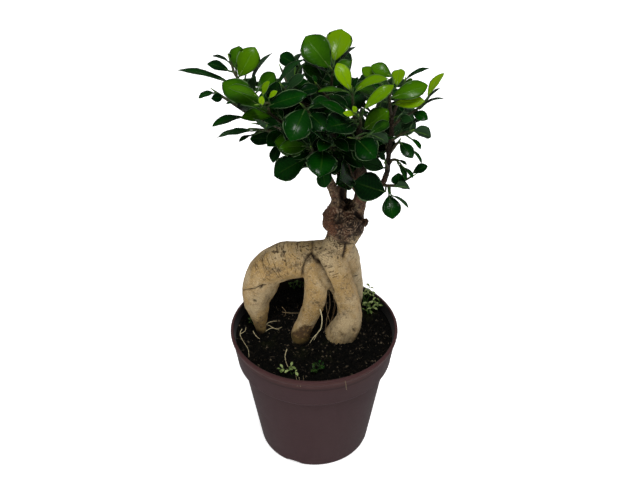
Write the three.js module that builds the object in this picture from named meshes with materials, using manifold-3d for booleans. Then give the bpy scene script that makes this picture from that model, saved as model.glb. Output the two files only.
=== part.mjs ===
// A ginseng ficus in its nursery pot, in millimetres, +Z up, standing on z = 0 with its front at -Y.
// Swollen aerial roots grow together into a grafted trunk, whose branches carry the leafy stems.

import * as THREE from "three";
import { mergeVertices } from "three/addons/utils/BufferGeometryUtils.js";
import Module from "manifold-3d";

const wasm = await Module();
wasm.setup();

// Where two pieces touch, this much air stays between them.
const CLEARANCE = 0.3;

// The pot: a 12 cm moulded nursery pot, with a collar below its rim and arches at its foot.
const POT = {
  height: 102,
  rimRadius: 60,
  lipHeight: 3.6,
  lipOverhang: 1.6,
  rimThickness: 2.4,
  collarBottom: 77,
  collarBottomRadius: 55.6,
  collarStep: 3.6,
  bodyTopRadius: 51.6,
  footRadius: 40.3,
  footCorner: 3,
  wall: 1.4,
  floor: 2.2,
  sides: 32,
  archCount: 4,
  archTurn: -22.6,
  archWidth: 14,
  archHeight: 3.4,
  archDepth: 7,
};

// The peat: it fills the pot to just below the rim, heaped a little round the roots.
const SOIL = {
  edgeHeight: 95,
  middleHeight: 97.2,
  bump: 0.9,
  ringRadii: [42, 24],
  sides: 24,
};

// The leaves: thick, blunt blades, thickest along the rib and widest just past the middle.
const LEAF = {
  thickness: 1.2,
  stalkRadius: 0.55,
  shortestStalk: 4,
  rows: [0.17, 0.5, 0.83],
  smallRows: [0.3, 0.74],
  smallLength: 16,
  budRows: [0.5],
  budLength: 9,
  arch: 0.07,
  cup: 0.16,
  gap: 1.5,
  rim: 1.4,
};

const TWIG = { baseRadius: 1.3, tipRadius: 0.8, sides: 4, spacing: 14, sample: 2.6 };

// The leaves by rule: they clothe the stems behind and inside, and the twigs behind the front leaves.
const FILLING = {
  seed: 3,
  nodeSpacing: 5,
  hidingPoints: 6,
  leafLength: [20, 28],
  leafRatio: [0.56, 0.68],
  firstLeaf: 0.35,
  stalk: 5.5,
  twigSwings: [0, 12, -12, 25, -25, 40, -40, 60, -60],
  leafSwings: [
    { swing: 0, rise: 0.1 },
    { swing: 0.4, rise: 0.3 },
    { swing: -0.4, rise: -0.1 },
    { swing: 0.9, rise: 0.4 },
    { swing: -0.9, rise: 0 },
    { swing: 1.5, rise: 0.2 },
    { swing: -1.5, rise: 0.3 },
    { swing: 2.4, rise: 0 },
    { swing: -2.4, rise: -0.2 },
    { swing: 3.1, rise: 0.6 },
  ],
};

// The room kept round the pieces of different stems, and round the branches.
const ROOM = {
  bladeToBranch: 1,
  stalkToBranch: 0.8,
  stalkToStalk: 2,
  stalkToTwig: 2.6,
  bladeToTwig: 2.1,
  twigToBranch: 2,
  twigToTwig: 3.1,
  twigStartToTwig: 2.5,
  twigStartLength: 6,
  twigLeavingLength: 5,
  farApart: 12,
};

// The middle of the crown, which its leaves face away from.
const CROWN_CENTRE = new THREE.Vector3(4, 12, 258);

const GOLDEN_ANGLE = THREE.MathUtils.degToRad(137.5);

// The photograph's viewpoint, from which the shapes below were read: where it stands, how far it looks
// down, its focal length in picture points, and the distance from it to the middle of the crown.
const VIEW = {
  position: new THREE.Vector3(4.2, -592, 594),
  pitch: THREE.MathUtils.degToRad(35.14),
  focal: 1068.8,
  centre: [320, 240],
  crownDistance: 670,
};
VIEW.forward = new THREE.Vector3(0, Math.cos(VIEW.pitch), -Math.sin(VIEW.pitch));
VIEW.up = new THREE.Vector3(0, Math.sin(VIEW.pitch), Math.cos(VIEW.pitch));
VIEW.right = new THREE.Vector3(1, 0, 0);

// The direction in which a point of the picture is seen.
function sightLine([across, down]) {
  const [middle, level] = VIEW.centre;
  return VIEW.forward
    .clone()
    .addScaledVector(VIEW.right, (across - middle) / VIEW.focal)
    .addScaledVector(VIEW.up, (level - down) / VIEW.focal);
}

// The place seen at a point of the picture, at a depth y behind the pot's axis.
function seenAtDepth(point, y) {
  const line = sightLine(point);
  return VIEW.position.clone().addScaledVector(line, (y - VIEW.position.y) / line.y);
}

// The place seen at a point of the picture, nearer than the middle of the crown by so many millimetres.
function seenNear(point, near) {
  return VIEW.position.clone().addScaledVector(sightLine(point), VIEW.crownDistance - near);
}

// The point of the picture at which a place is seen.
function pictureOf(place) {
  const offset = place.clone().sub(VIEW.position);
  const scale = VIEW.focal / offset.dot(VIEW.forward);
  const [middle, level] = VIEW.centre;
  return [middle + offset.dot(VIEW.right) * scale, level - offset.dot(VIEW.up) * scale];
}

// The roots, the trunk and the branches, which grew as one. Each station gives where the middle of the
// limb is seen, its depth behind the pot's axis and its radius.
const LIMBS = {
  trunk: {
    sides: 12,
    stations: [
      { seen: [333, 258], depth: 6, radius: 9 },
      { seen: [335, 250], depth: 7, radius: 10.8 },
      { seen: [338.5, 241], depth: 8, radius: 9.8 },
      { seen: [342.5, 233], depth: 9, radius: 11.8 },
      { seen: [344, 224], depth: 10, radius: 14.6 },
      { seen: [344, 213.5], depth: 10, radius: 14.2 },
    ],
  },
  left_root: {
    sides: 11,
    stations: [
      { seen: [330, 252], depth: 9, radius: 8.5 },
      { seen: [316, 256], depth: 7, radius: 11 },
      { seen: [300, 258.5], depth: 5, radius: 12.8 },
      { seen: [285, 259.5], depth: 4, radius: 13.4 },
      { seen: [266.5, 269], depth: 3, radius: 12.8 },
      { seen: [259.5, 285], depth: 3, radius: 12.2 },
      { seen: [256.5, 299], depth: 2, radius: 9.6 },
      { seen: [258.5, 311], depth: 1.5, radius: 7 },
      { seen: [260, 321], depth: 1.5, radius: 5 },
      { seen: [261, 331], depth: 1.5, radius: 3.4 },
      { seen: [262, 340], depth: 1.5, radius: 2.4 },
    ],
  },
  middle_root: {
    sides: 9,
    stations: [
      { seen: [319, 252], depth: 4, radius: 4.5 },
      { seen: [312, 264], depth: -1, radius: 4.4 },
      { seen: [312.5, 275], depth: -3, radius: 6 },
      { seen: [315, 285], depth: -5, radius: 7.6 },
      { seen: [316, 293], depth: -6, radius: 8.2 },
      { seen: [314, 302], depth: -6, radius: 7.8 },
      { seen: [310, 312], depth: -6, radius: 7.2 },
      { seen: [306, 322], depth: -7, radius: 6.9 },
      { seen: [301, 332], depth: -8, radius: 6.2 },
      { seen: [299, 343], depth: -9, radius: 5.4 },
      { seen: [299, 353], depth: -9, radius: 4.2 },
    ],
  },
  right_root: {
    sides: 11,
    stations: [
      { seen: [328, 250], depth: 5, radius: 10 },
      { seen: [332, 262], depth: 0, radius: 10.6 },
      { seen: [337, 275], depth: -3, radius: 9.8 },
      { seen: [344, 290], depth: -5, radius: 8.8 },
      { seen: [348.5, 302], depth: -6, radius: 8.3 },
      { seen: [350, 312], depth: -6, radius: 8.3 },
      { seen: [347, 323], depth: -6, radius: 9.6 },
      { seen: [341, 333], depth: -5, radius: 11.4 },
      { seen: [338, 345], depth: -4, radius: 10.6 },
      { seen: [337, 355], depth: -4, radius: 8.6 },
    ],
  },
  rear_root: {
    sides: 9,
    stations: [
      { seen: [341, 246], depth: 10, radius: 9 },
      { seen: [347, 256], depth: 15, radius: 8.6 },
      { seen: [350.5, 267], depth: 20, radius: 8 },
      { seen: [352.5, 279], depth: 25, radius: 7.4 },
      { seen: [353, 291], depth: 28, radius: 7 },
      { seen: [351, 303], depth: 30, radius: 7 },
      { seen: [350, 315], depth: 31, radius: 5.8 },
    ],
  },
  cut_stub: {
    sides: 6,
    stations: [
      { seen: [355, 223], depth: 4, radius: 4 },
      { seen: [362, 222.5], depth: 2, radius: 3.2 },
      { seen: [366.5, 222], depth: 1, radius: 2.5 },
    ],
  },
  left_branch: {
    sides: 7,
    stations: [
      { seen: [337.5, 213], depth: 8, radius: 8.4 },
      { seen: [336, 201], depth: 7, radius: 5 },
      { seen: [332, 189], depth: 6, radius: 4.2 },
      { seen: [327.5, 178], depth: 5, radius: 3.6 },
      { seen: [321, 165], depth: 3, radius: 3 },
      { seen: [311, 150], depth: 0, radius: 2.6 },
      { seen: [299, 137], depth: -2, radius: 2.1 },
      { seen: [288, 125], depth: -3, radius: 1.6 },
    ],
  },
  middle_branch: {
    sides: 6,
    stations: [
      { seen: [343, 211], depth: 11, radius: 4.6 },
      { seen: [342.5, 200], depth: 12, radius: 3.1 },
      { seen: [342, 186], depth: 13, radius: 3.4 },
      { seen: [340.5, 170], depth: 13, radius: 3 },
      { seen: [336, 150], depth: 11, radius: 2.5 },
      { seen: [332, 128], depth: 9, radius: 2.2 },
      { seen: [330, 108], depth: 7, radius: 1.9 },
      { seen: [331, 92], depth: 6, radius: 1.5 },
    ],
  },
  right_branch: {
    sides: 7,
    stations: [
      { seen: [353, 213], depth: 9, radius: 8 },
      { seen: [359, 202], depth: 8, radius: 4.9 },
      { seen: [361.5, 190], depth: 8, radius: 4.4 },
      { seen: [362, 176], depth: 6, radius: 4 },
      { seen: [361, 158], depth: 2, radius: 3.2 },
      { seen: [360, 141], depth: -4, radius: 2.5 },
      { seen: [359, 127], depth: -10, radius: 1.8 },
    ],
  },
  crossing_branch: {
    sides: 6,
    stations: [
      { seen: [359, 191], depth: 7, radius: 2.8 },
      { seen: [353, 184], depth: 5, radius: 2.6 },
      { seen: [349.5, 175], depth: 4, radius: 2.3 },
      { seen: [347, 164], depth: 3, radius: 2 },
      { seen: [344, 154], depth: 2, radius: 1.6 },
    ],
  },
  slender_branch: {
    sides: 6,
    stations: [
      { seen: [361, 197], depth: 7, radius: 2.8 },
      { seen: [372, 193], depth: 4, radius: 2.4 },
      { seen: [382, 184], depth: 0, radius: 2.1 },
      { seen: [387, 172], depth: -3, radius: 1.9 },
      { seen: [388, 160], depth: -5, radius: 1.8 },
      { seen: [390, 145], depth: -6, radius: 1.6 },
      { seen: [392, 128], depth: -5, radius: 1.4 },
      { seen: [391, 112], depth: -3, radius: 1.2 },
    ],
  },
  rear_branch: {
    sides: 6,
    stations: [
      { seen: [355, 211], depth: 13, radius: 4.6 },
      { seen: [360, 199], depth: 17, radius: 3.8 },
      { seen: [359, 183], depth: 23, radius: 3.2 },
      { seen: [354, 163], depth: 28, radius: 2.8 },
      { seen: [347, 137], depth: 33, radius: 2.3 },
      { seen: [340, 112], depth: 35, radius: 1.7 },
    ],
  },
  rear_left_branch: {
    sides: 6,
    stations: [
      { seen: [341, 172], depth: 13, radius: 2.6 },
      { seen: [333, 160], depth: 19, radius: 2.4 },
      { seen: [318, 142], depth: 27, radius: 2.1 },
      { seen: [304, 125], depth: 31, radius: 1.8 },
      { seen: [296, 112], depth: 32, radius: 1.5 },
    ],
  },
};
const LIMB_SPACING = 8.5;
const LIMB_UNEVENNESS = 0.05;

// The leafy stems that face the front. A twig gives the points of the picture that it passes and how
// near it is there. A leaf gives where its blade starts and ends, how wide it looks, how far its tip
// reaches towards the viewer, and how far its face is turned up from facing the viewer.
const STEMS = {
  left_front: {
    twig: [
      { seen: [294.5, 132], near: -4 },
      { seen: [283, 123], near: 16 },
      { seen: [271, 114], near: 32 },
      { seen: [262, 104], near: 40 },
    ],
    leaves: [
      { from: [262, 107], to: [222, 82], wide: 23, reach: -4, turn: 8 },
      { from: [260, 98], to: [228, 87], wide: 8, reach: 9, turn: 50 },
      { from: [263, 96], to: [269, 81], wide: 6, reach: 4, turn: 50 },
      { from: [262, 105], to: [262, 96], wide: 6, reach: 5, turn: 20 },
      { from: [269, 98], to: [277, 91], wide: 5, reach: 3, turn: 30 },
      { from: [266, 107], to: [307, 94], wide: 16, reach: 8, turn: 15 },
      { from: [262, 111], to: [240, 105], wide: 6, reach: -8, turn: 112 },
      { from: [277, 113], to: [241, 118], wide: 13, reach: 10, turn: 22 },
    ],
  },
  left_top: {
    twig: [
      { seen: [290, 127], near: -1.5 },
      { seen: [263, 106], near: 6 },
      { seen: [247, 90], near: 14 },
      { seen: [237, 76], near: 19 },
      { seen: [230, 61], near: 22 },
    ],
    leaves: [
      { from: [239, 77], to: [255, 47], wide: 22, reach: 2, turn: 0 },
      { from: [236, 70], to: [238, 46], wide: 14, reach: -8, turn: 12 },
      { from: [230, 60], to: [228, 53], wide: 3, reach: 0, turn: 40 },
      { from: [229, 62], to: [212, 56], wide: 3, reach: -2, turn: 68 },
      { from: [229, 71], to: [207, 64], wide: 9, reach: 4, turn: 40 },
      { from: [230, 83], to: [177, 69.5], wide: 6, reach: 2, turn: 58, arch: 0.05 },
      { from: [246, 74], to: [256, 61], wide: 6, reach: -3, turn: 35 },
      { from: [251, 83], to: [273, 52], wide: 4, reach: -4, turn: 72 },
      { from: [257, 92], to: [275, 73], wide: 15, reach: -8, turn: 8 },
    ],
  },
  left_twig: {
    twig: [
      { seen: [298, 136], near: -6 },
      { seen: [268, 122], near: -2 },
      { seen: [248, 114], near: 7 },
      { seen: [238, 105], near: 10 },
      { seen: [226, 98], near: 12 },
      { seen: [217, 92], near: 12 },
    ],
    leaves: [
      { from: [215, 93], to: [198, 98], wide: 6, reach: 0, turn: 55 },
      { from: [223, 97], to: [211, 98], wide: 9, reach: 6, turn: 0 },
      { from: [233, 102], to: [226, 104], wide: 2.5, reach: 2, turn: 40 },
      { from: [243, 117], to: [212, 126], wide: 8, reach: 2, turn: 50 },
    ],
  },
  left_low_twig: {
    twig: [
      { seen: [303, 141.5], near: -7 },
      { seen: [287, 136], near: 6 },
      { seen: [270, 131], near: 12 },
      { seen: [256, 129], near: 14 },
    ],
    leaves: [
      { from: [250, 129], to: [217, 137], wide: 5, reach: 0, turn: 66, arch: 0.02 },
      { from: [252, 131], to: [228, 135], wide: 6, reach: 5, turn: 52 },
      { from: [252, 135], to: [239, 142], wide: 4, reach: 3, turn: 55 },
      { from: [278, 139], to: [250, 139], wide: 14, reach: -3, turn: 18 },
      { from: [281, 142], to: [273, 163], wide: 10, reach: 3, turn: 30 },
    ],
  },
  left_lower: {
    twig: [
      { seen: [314, 155], near: -18 },
      { seen: [313, 151], near: 2 },
      { seen: [311, 147], near: 22 },
    ],
    leaves: [
      { from: [307, 146], to: [279, 148], wide: 15, reach: 7, turn: 8 },
      { from: [310, 151], to: [294, 159], wide: 10, reach: 5, turn: 30 },
      { from: [306, 158], to: [274, 176], wide: 24, reach: -3, turn: 5 },
    ],
  },
  low_middle: {
    twig: [
      { seen: [336, 151], near: -24 },
      { seen: [331, 147], near: 2 },
      { seen: [325, 143], near: 27 },
    ],
    leaves: [
      { from: [323, 150], to: [320, 177], wide: 30, reach: 10, turn: 0 },
      { from: [320, 164], to: [325, 188], wide: 15, reach: -6, turn: 20 },
      { from: [329, 138], to: [320, 151], wide: 13, reach: 10, turn: 15 },
      { from: [333, 138], to: [348, 151], wide: 10, reach: 8, turn: 25 },
      { from: [340, 151], to: [363, 167], wide: 13, reach: 2, turn: 20 },
    ],
  },
  top: {
    twig: [
      { seen: [331, 93], near: 3 },
      { seen: [332, 80], near: 17 },
      { seen: [333, 68], near: 27 },
    ],
    leaves: [
      { from: [330, 68], to: [305.5, 36], wide: 29, reach: 1, turn: 0 },
      { from: [334.5, 61], to: [342.5, 29], wide: 25, reach: -5, turn: 5 },
      { from: [341, 61], to: [356, 46], wide: 5, reach: -8, turn: 65 },
      { from: [334, 74], to: [351, 61], wide: 12, reach: 2, turn: 15 },
      { from: [328, 74], to: [302, 60], wide: 6, reach: 5, turn: 62 },
      { from: [323, 80], to: [303, 66], wide: 11, reach: 9, turn: 25 },
    ],
  },
  top_left: {
    twig: [
      { seen: [330, 108], near: -3 },
      { seen: [311, 106], near: 12 },
      { seen: [293, 98], near: 24 },
      { seen: [283, 87], near: 31 },
    ],
    leaves: [
      { from: [277, 87], to: [303, 59], wide: 6, reach: 1, turn: 68 },
      { from: [286, 90], to: [305, 75], wide: 9, reach: 5, turn: 38 },
      { from: [299, 67], to: [280, 55], wide: 14, reach: -7, turn: 5 },
      { from: [296, 94], to: [318, 88], wide: 12, reach: -2, turn: 30 },
    ],
  },
  top_middle: {
    twig: [
      { seen: [330, 101], near: 0 },
      { seen: [323, 93], near: 13 },
      { seen: [317, 85], near: 25 },
    ],
    leaves: [
      { from: [316, 84], to: [313, 75], wide: 4, reach: 2, turn: 40 },
      { from: [321, 87], to: [341, 75], wide: 16, reach: -5, turn: 10 },
      { from: [313, 87], to: [292, 84], wide: 12, reach: -4, turn: 25 },
    ],
  },
  right_shoot: {
    twig: [
      { seen: [360, 138], near: -5 },
      { seen: [355, 124], near: 9 },
      { seen: [353, 106], near: 32 },
      { seen: [352, 92], near: 41 },
    ],
    leaves: [
      { from: [350, 90], to: [337, 63], wide: 15, reach: 1, turn: 10 },
      { from: [353, 90], to: [358, 77], wide: 5, reach: 3, turn: 40 },
      { from: [355, 92], to: [389, 79], wide: 9, reach: 1, turn: 42, arch: 0.18 },
      { from: [348, 92], to: [318, 92], wide: 5, reach: 4, turn: 62 },
      { from: [356, 113], to: [354, 95], wide: 24, reach: -12, turn: 0 },
    ],
  },
  front: {
    twig: [
      { seen: [359, 128], near: 5 },
      { seen: [361, 122], near: 26 },
      { seen: [359, 116], near: 43 },
    ],
    leaves: [
      { from: [355, 114], to: [343, 113], wide: 6, reach: 5, turn: 0 },
      { from: [356, 113], to: [353, 106], wide: 5, reach: 3, turn: 20 },
      { from: [364, 109], to: [394, 85], wide: 12, reach: 2, turn: 22 },
      { from: [355, 121], to: [327, 134], wide: 10, reach: 8, turn: 35 },
      { from: [364, 129], to: [389, 110], wide: 21, reach: 4, turn: 0 },
      { from: [363, 113], to: [369, 113], wide: 3, reach: 3, turn: 30 },
      { from: [350, 119], to: [319, 101], wide: 9, reach: 2, turn: 48 },
      { from: [349, 110], to: [329, 96], wide: 9, reach: -3, turn: 45 },
      { from: [350, 124], to: [321, 117], wide: 11, reach: -2, turn: 30 },
    ],
  },
  middle: {
    twig: [
      { seen: [332, 129], near: -14 },
      { seen: [319, 121], near: 12 },
      { seen: [309, 113], near: 31 },
      { seen: [303, 106], near: 38 },
    ],
    leaves: [
      { from: [305, 109], to: [291, 141], wide: 28, reach: 7, turn: 4 },
      { from: [309, 114], to: [327, 130], wide: 20, reach: 5, turn: 8 },
      { from: [309, 108], to: [330, 100], wide: 12, reach: -4, turn: 30 },
    ],
  },
  right_top: {
    twig: [
      { seen: [391.2, 115], near: 4.8 },
      { seen: [390, 105], near: 16 },
      { seen: [390, 95], near: 26 },
      { seen: [393, 86], near: 30 },
    ],
    leaves: [
      { from: [391, 98], to: [428, 85], wide: 17, reach: 0, turn: 8 },
      { from: [394, 104], to: [425, 101], wide: 13, reach: 6, turn: 12 },
      { from: [397, 86], to: [400, 69], wide: 13, reach: -6, turn: 15 },
      { from: [392, 77], to: [371, 66], wide: 13, reach: -1, turn: 25 },
      { from: [382, 84], to: [362, 68], wide: 12, reach: -5, turn: 20 },
    ],
  },
  right_tip: {
    twig: [
      { seen: [392, 127.2], near: 1.6 },
      { seen: [402, 118], near: 9 },
      { seen: [416, 110], near: 12 },
      { seen: [427, 99], near: 12 },
    ],
    leaves: [
      { from: [428, 97], to: [444, 73], wide: 8, reach: -3, turn: 48 },
      { from: [427, 100], to: [441, 88], wide: 2.5, reach: 2, turn: 68 },
      { from: [421, 108], to: [445, 99], wide: 2.5, reach: 0, turn: 70, arch: 0.14 },
      { from: [413, 113], to: [428, 119], wide: 10, reach: 5, turn: 18 },
      { from: [400, 118], to: [412, 120], wide: 9, reach: 9, turn: 0 },
    ],
  },
  right_thin_twig: {
    twig: [
      { seen: [391.5, 119], near: 4.2 },
      { seen: [399, 99], near: 1 },
      { seen: [404, 83], near: 4 },
    ],
    leaves: [
      { from: [405, 80], to: [430, 68], wide: 4, reach: 0, turn: 62 },
      { from: [405, 83], to: [413, 79], wide: 3, reach: 3, turn: 40 },
    ],
  },
  right_middle: {
    twig: [
      { seen: [390.2, 141.8], near: -4.2 },
      { seen: [400, 135], near: 3 },
      { seen: [410, 130], near: 7 },
    ],
    leaves: [
      { from: [412, 124], to: [427, 118], wide: 5, reach: -5, turn: 58 },
      { from: [402, 130], to: [411, 119], wide: 10, reach: -2, turn: 18 },
      { from: [412, 131], to: [431, 137], wide: 11, reach: 2, turn: 125 },
      { from: [410, 138], to: [421, 149], wide: 4, reach: 2, turn: 58 },
    ],
  },
  right_lower: {
    twig: [
      { seen: [388.8, 153], near: -8.6 },
      { seen: [395, 146], near: 0 },
      { seen: [399, 140], near: 8 },
    ],
    leaves: [
      { from: [400, 142], to: [413, 158], wide: 12, reach: 4, turn: 8 },
      { from: [410, 149], to: [422, 163], wide: 3, reach: -1, turn: 66 },
    ],
  },
  right_hanging: {
    twig: [
      { seen: [387.8, 164], near: -15 },
      { seen: [394, 159], near: -8 },
      { seen: [400, 163], near: -4 },
    ],
    leaves: [
      { from: [398, 160], to: [407, 165], wide: 3, reach: 1, turn: 45 },
      { from: [398, 164], to: [406, 180], wide: 5, reach: 2, turn: 50 },
      { from: [403, 167], to: [413, 178], wide: 4, reach: 3, turn: 50 },
    ],
  },
  right_bottom: {
    twig: [
      { seen: [382, 184], near: -28 },
      { seen: [391, 185], near: -17 },
      { seen: [401, 182], near: -12 },
      { seen: [414, 177], near: -8 },
      { seen: [426, 171], near: -6 },
    ],
    leaves: [
      { from: [413, 173], to: [428, 166], wide: 9, reach: 3, turn: 28 },
      { from: [399, 186], to: [398, 173], wide: 14, reach: 6, turn: 0 },
      { from: [395, 187], to: [410, 188], wide: 8, reach: 4, turn: 120 },
      { from: [391, 195], to: [409, 208], wide: 3, reach: 0, turn: 66 },
      { from: [389, 195], to: [393, 219], wide: 18, reach: 3, turn: 5 },
      { from: [385, 192], to: [353, 182], wide: 28, reach: 7, turn: 0 },
    ],
  },
  right_inner: {
    twig: [
      { seen: [361, 159], near: -20 },
      { seen: [358, 148], near: 6 },
      { seen: [355, 138], near: 27 },
    ],
    leaves: [
      { from: [357, 139], to: [376, 158], wide: 25, reach: 7, turn: 0 },
      { from: [365, 133], to: [388, 143], wide: 9, reach: -3, turn: 120 },
      { from: [370, 134], to: [389, 122], wide: 11, reach: -8, turn: 15 },
    ],
  },
  right_under: {
    twig: [
      { seen: [387.5, 169], near: -17.5 },
      { seen: [387, 165], near: -6 },
      { seen: [385, 163], near: 3 },
    ],
    leaves: [
      { from: [384, 168], to: [361, 161], wide: 15, reach: 5, turn: 20 },
      { from: [385, 160], to: [379, 153], wide: 6, reach: 4, turn: 20 },
    ],
  },
};

// Where the crown's outline runs in the picture, so that no stem behind it stands out past it.
const CROWN_OUTLINE = [
  [226, 82], [232, 62], [244, 52], [253, 60], [257, 77], [270, 82], [283, 76], [288, 60], [302, 50],
  [318, 42], [345, 40], [352, 60], [354, 69], [374, 71], [400, 76], [414, 84], [426, 92], [424, 108],
  [418, 122], [424, 134], [412, 140], [396, 142], [384, 152], [380, 166], [376, 184], [352, 182],
  [330, 176], [306, 172], [280, 172], [270, 150], [254, 140], [258, 124], [246, 116], [232, 100],
];

// The stems by rule: where each starts on a branch, the way that it grows, as a turn from the right
// round the back and a rise above level, and how long it is.
const FILLING_STEMS = {
  back_1: { seen: [340, 112.5], depth: 35, turn: 70, rise: 50, length: 32 },
  back_2: { seen: [342.5, 121], depth: 34.5, turn: 30, rise: 30, length: 36 },
  back_3: { seen: [345, 130], depth: 33.8, turn: 100, rise: 20, length: 36 },
  back_4: { seen: [348.5, 142], depth: 32, turn: 10, rise: 18, length: 38 },
  back_5: { seen: [351.5, 154], depth: 30, turn: 60, rise: 5, length: 38 },
  back_6: { seen: [296, 112.5], depth: 32, turn: 120, rise: 50, length: 30 },
  back_7: { seen: [300, 119], depth: 31.6, turn: 165, rise: 28, length: 34 },
  back_8: { seen: [305, 126.5], depth: 30.8, turn: 110, rise: 15, length: 38 },
  back_9: { seen: [311, 134], depth: 29, turn: 185, rise: 15, length: 36 },
  back_10: { seen: [318, 142], depth: 27, turn: 140, rise: 2, length: 36 },
  back_11: { seen: [325, 150.5], depth: 23.4, turn: 95, rise: 12, length: 36 },
  upper_1: { seen: [331, 118.2], depth: 7.9, turn: 20, rise: 40, length: 32 },
  upper_2: { seen: [331.5, 123.6], depth: 8.5, turn: 150, rise: 42, length: 34 },
  upper_3: { seen: [333, 134.6], depth: 9.5, turn: 60, rise: 30, length: 36 },
  upper_4: { seen: [334.3, 140.2], depth: 10, turn: 115, rise: 30, length: 36 },
  right_1: { seen: [388.3, 157], depth: -5.2, turn: 60, rise: 30, length: 28 },
  right_2: { seen: [391.2, 134], depth: -5.4, turn: 95, rise: 35, length: 26 },
  low_1: { seen: [352.8, 159], depth: 29, turn: 120, rise: -20, length: 34 },
  low_2: { seen: [357, 175], depth: 25.3, turn: 70, rise: -20, length: 34 },
  low_3: { seen: [329.5, 155.5], depth: 21, turn: 110, rise: -30, length: 30 },
  low_4: { seen: [341.5, 176], depth: 13, turn: 100, rise: -15, length: 30 },
};

// A stream of numbers from 0 to 1 that is the same each time for one seed.
function seededRandom(seed) {
  let state = seed >>> 0;
  return () => {
    state = (state + 0x6d2b79f5) >>> 0;
    let mixed = Math.imul(state ^ (state >>> 15), state | 1);
    mixed = (mixed + Math.imul(mixed ^ (mixed >>> 7), mixed | 61)) ^ mixed;
    return ((mixed ^ (mixed >>> 14)) >>> 0) / 4294967296;
  };
}

function between(random, [low, high]) {
  return low + (high - low) * random();
}

// Geometry as a solid that can be joined and cut.
function toSolid(geometry) {
  const plain = new THREE.BufferGeometry();
  plain.setAttribute("position", geometry.getAttribute("position"));
  plain.setIndex(geometry.getIndex());
  const merged = mergeVertices(plain, 1e-4);
  return new wasm.Manifold(
    new wasm.Mesh({
      numProp: 3,
      vertProperties: new Float32Array(merged.attributes.position.array),
      triVerts: new Uint32Array(merged.index.array),
    }),
  );
}

function toGeometry(solid) {
  const mesh = solid.getMesh();
  const geometry = new THREE.BufferGeometry();
  geometry.setAttribute("position", new THREE.BufferAttribute(new Float32Array(mesh.vertProperties), 3));
  geometry.setIndex(new THREE.BufferAttribute(new Uint32Array(mesh.triVerts), 1));
  return geometry.toNonIndexed();
}

function joined(solids) {
  return solids.reduce((whole, next) => whole.add(next));
}

// The largest body of a solid: what a cut leaves loose beside it is dropped.
function largestBody(solid) {
  return solid.decompose().reduce((best, next) => (next.volume() > best.volume() ? next : best));
}

function shape(points, faces) {
  const geometry = new THREE.BufferGeometry();
  geometry.setAttribute(
    "position",
    new THREE.Float32BufferAttribute(points.flatMap((point) => point.toArray()), 3),
  );
  geometry.setIndex(faces.flat());
  return geometry;
}

// A closed skin over rings of points, drawn together to one point before the first and after the last.
function skin(rings, startPoint, endPoint) {
  const sides = rings[0].length;
  const lastRow = (rings.length - 1) * sides;
  const start = rings.length * sides;
  const end = start + 1;
  const faces = [];
  for (let corner = 0; corner < sides; corner++) {
    const next = (corner + 1) % sides;
    for (let row = 0; row < lastRow; row += sides) {
      faces.push([row + corner, row + next, row + sides + next]);
      faces.push([row + corner, row + sides + next, row + sides + corner]);
    }
    faces.push([start, next, corner]);
    faces.push([end, lastRow + corner, lastRow + next]);
  }
  return shape([...rings.flat(), startPoint, endPoint], faces);
}

// A closed round tube along points, with a radius at each and a blunt end at both.
function tube(path, radii, sides, unevenness = 0) {
  const along = (index) => {
    const before = path[Math.max(index - 1, 0)];
    const after = path[Math.min(index + 1, path.length - 1)];
    return after.clone().sub(before).normalize();
  };
  let side = new THREE.Vector3(0.3, 1, 0.1).cross(along(0)).normalize();
  const rings = path.map((centre, index) => {
    const axis = along(index);
    side = side.clone().addScaledVector(axis, -side.dot(axis)).normalize();
    const other = axis.clone().cross(side);
    return Array.from({ length: sides }, (_, corner) => {
      const angle = (2 * Math.PI * corner) / sides;
      const lobes = Math.sin(3 * angle + 0.7 * index) + 0.6 * Math.sin(2 * angle - 0.45 * index);
      const radius = radii[index] * (1 + unevenness * lobes);
      return centre
        .clone()
        .addScaledVector(side, radius * Math.cos(angle))
        .addScaledVector(other, radius * Math.sin(angle));
    });
  });
  return skin(rings, path[0], path.at(-1));
}

// The middle line of a limb in steps about as long as the spacing, with the radius at each.
function limbLine({ stations }, spacing) {
  const curve = new THREE.CatmullRomCurve3(
    stations.map((station) => seenAtDepth(station.seen, station.depth)),
  );
  const thickness = new THREE.CatmullRomCurve3(
    stations.map((station) => new THREE.Vector3(station.radius, 0, 0)),
    false,
    "catmullrom",
  );
  const steps = Math.max(3, Math.round(curve.getLength() / spacing));
  const shares = Array.from({ length: steps + 1 }, (_, step) => step / steps);
  return {
    steps,
    path: shares.map((share) => curve.getPoint(share)),
    radii: shares.map((share) => thickness.getPoint(share).x),
  };
}

// A limb of the woody body, thicker all round by the extra, with a rounded end.
function limb({ stations, sides }, extra) {
  const { steps, path, radii: bare } = limbLine({ stations }, LIMB_SPACING);
  const radii = bare.map((radius) => radius + extra);
  const tipWay = path[steps].clone().sub(path[steps - 1]).normalize();
  const tipRadius = radii[steps];
  path.push(path[steps].clone().addScaledVector(tipWay, 0.5 * tipRadius + extra));
  radii.push(0.6 * tipRadius);
  return toSolid(tube(path, radii, sides, LIMB_UNEVENNESS));
}

function woodyBody(extra = 0) {
  return joined(Object.values(LIMBS).map((each) => limb(each, extra)));
}

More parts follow.
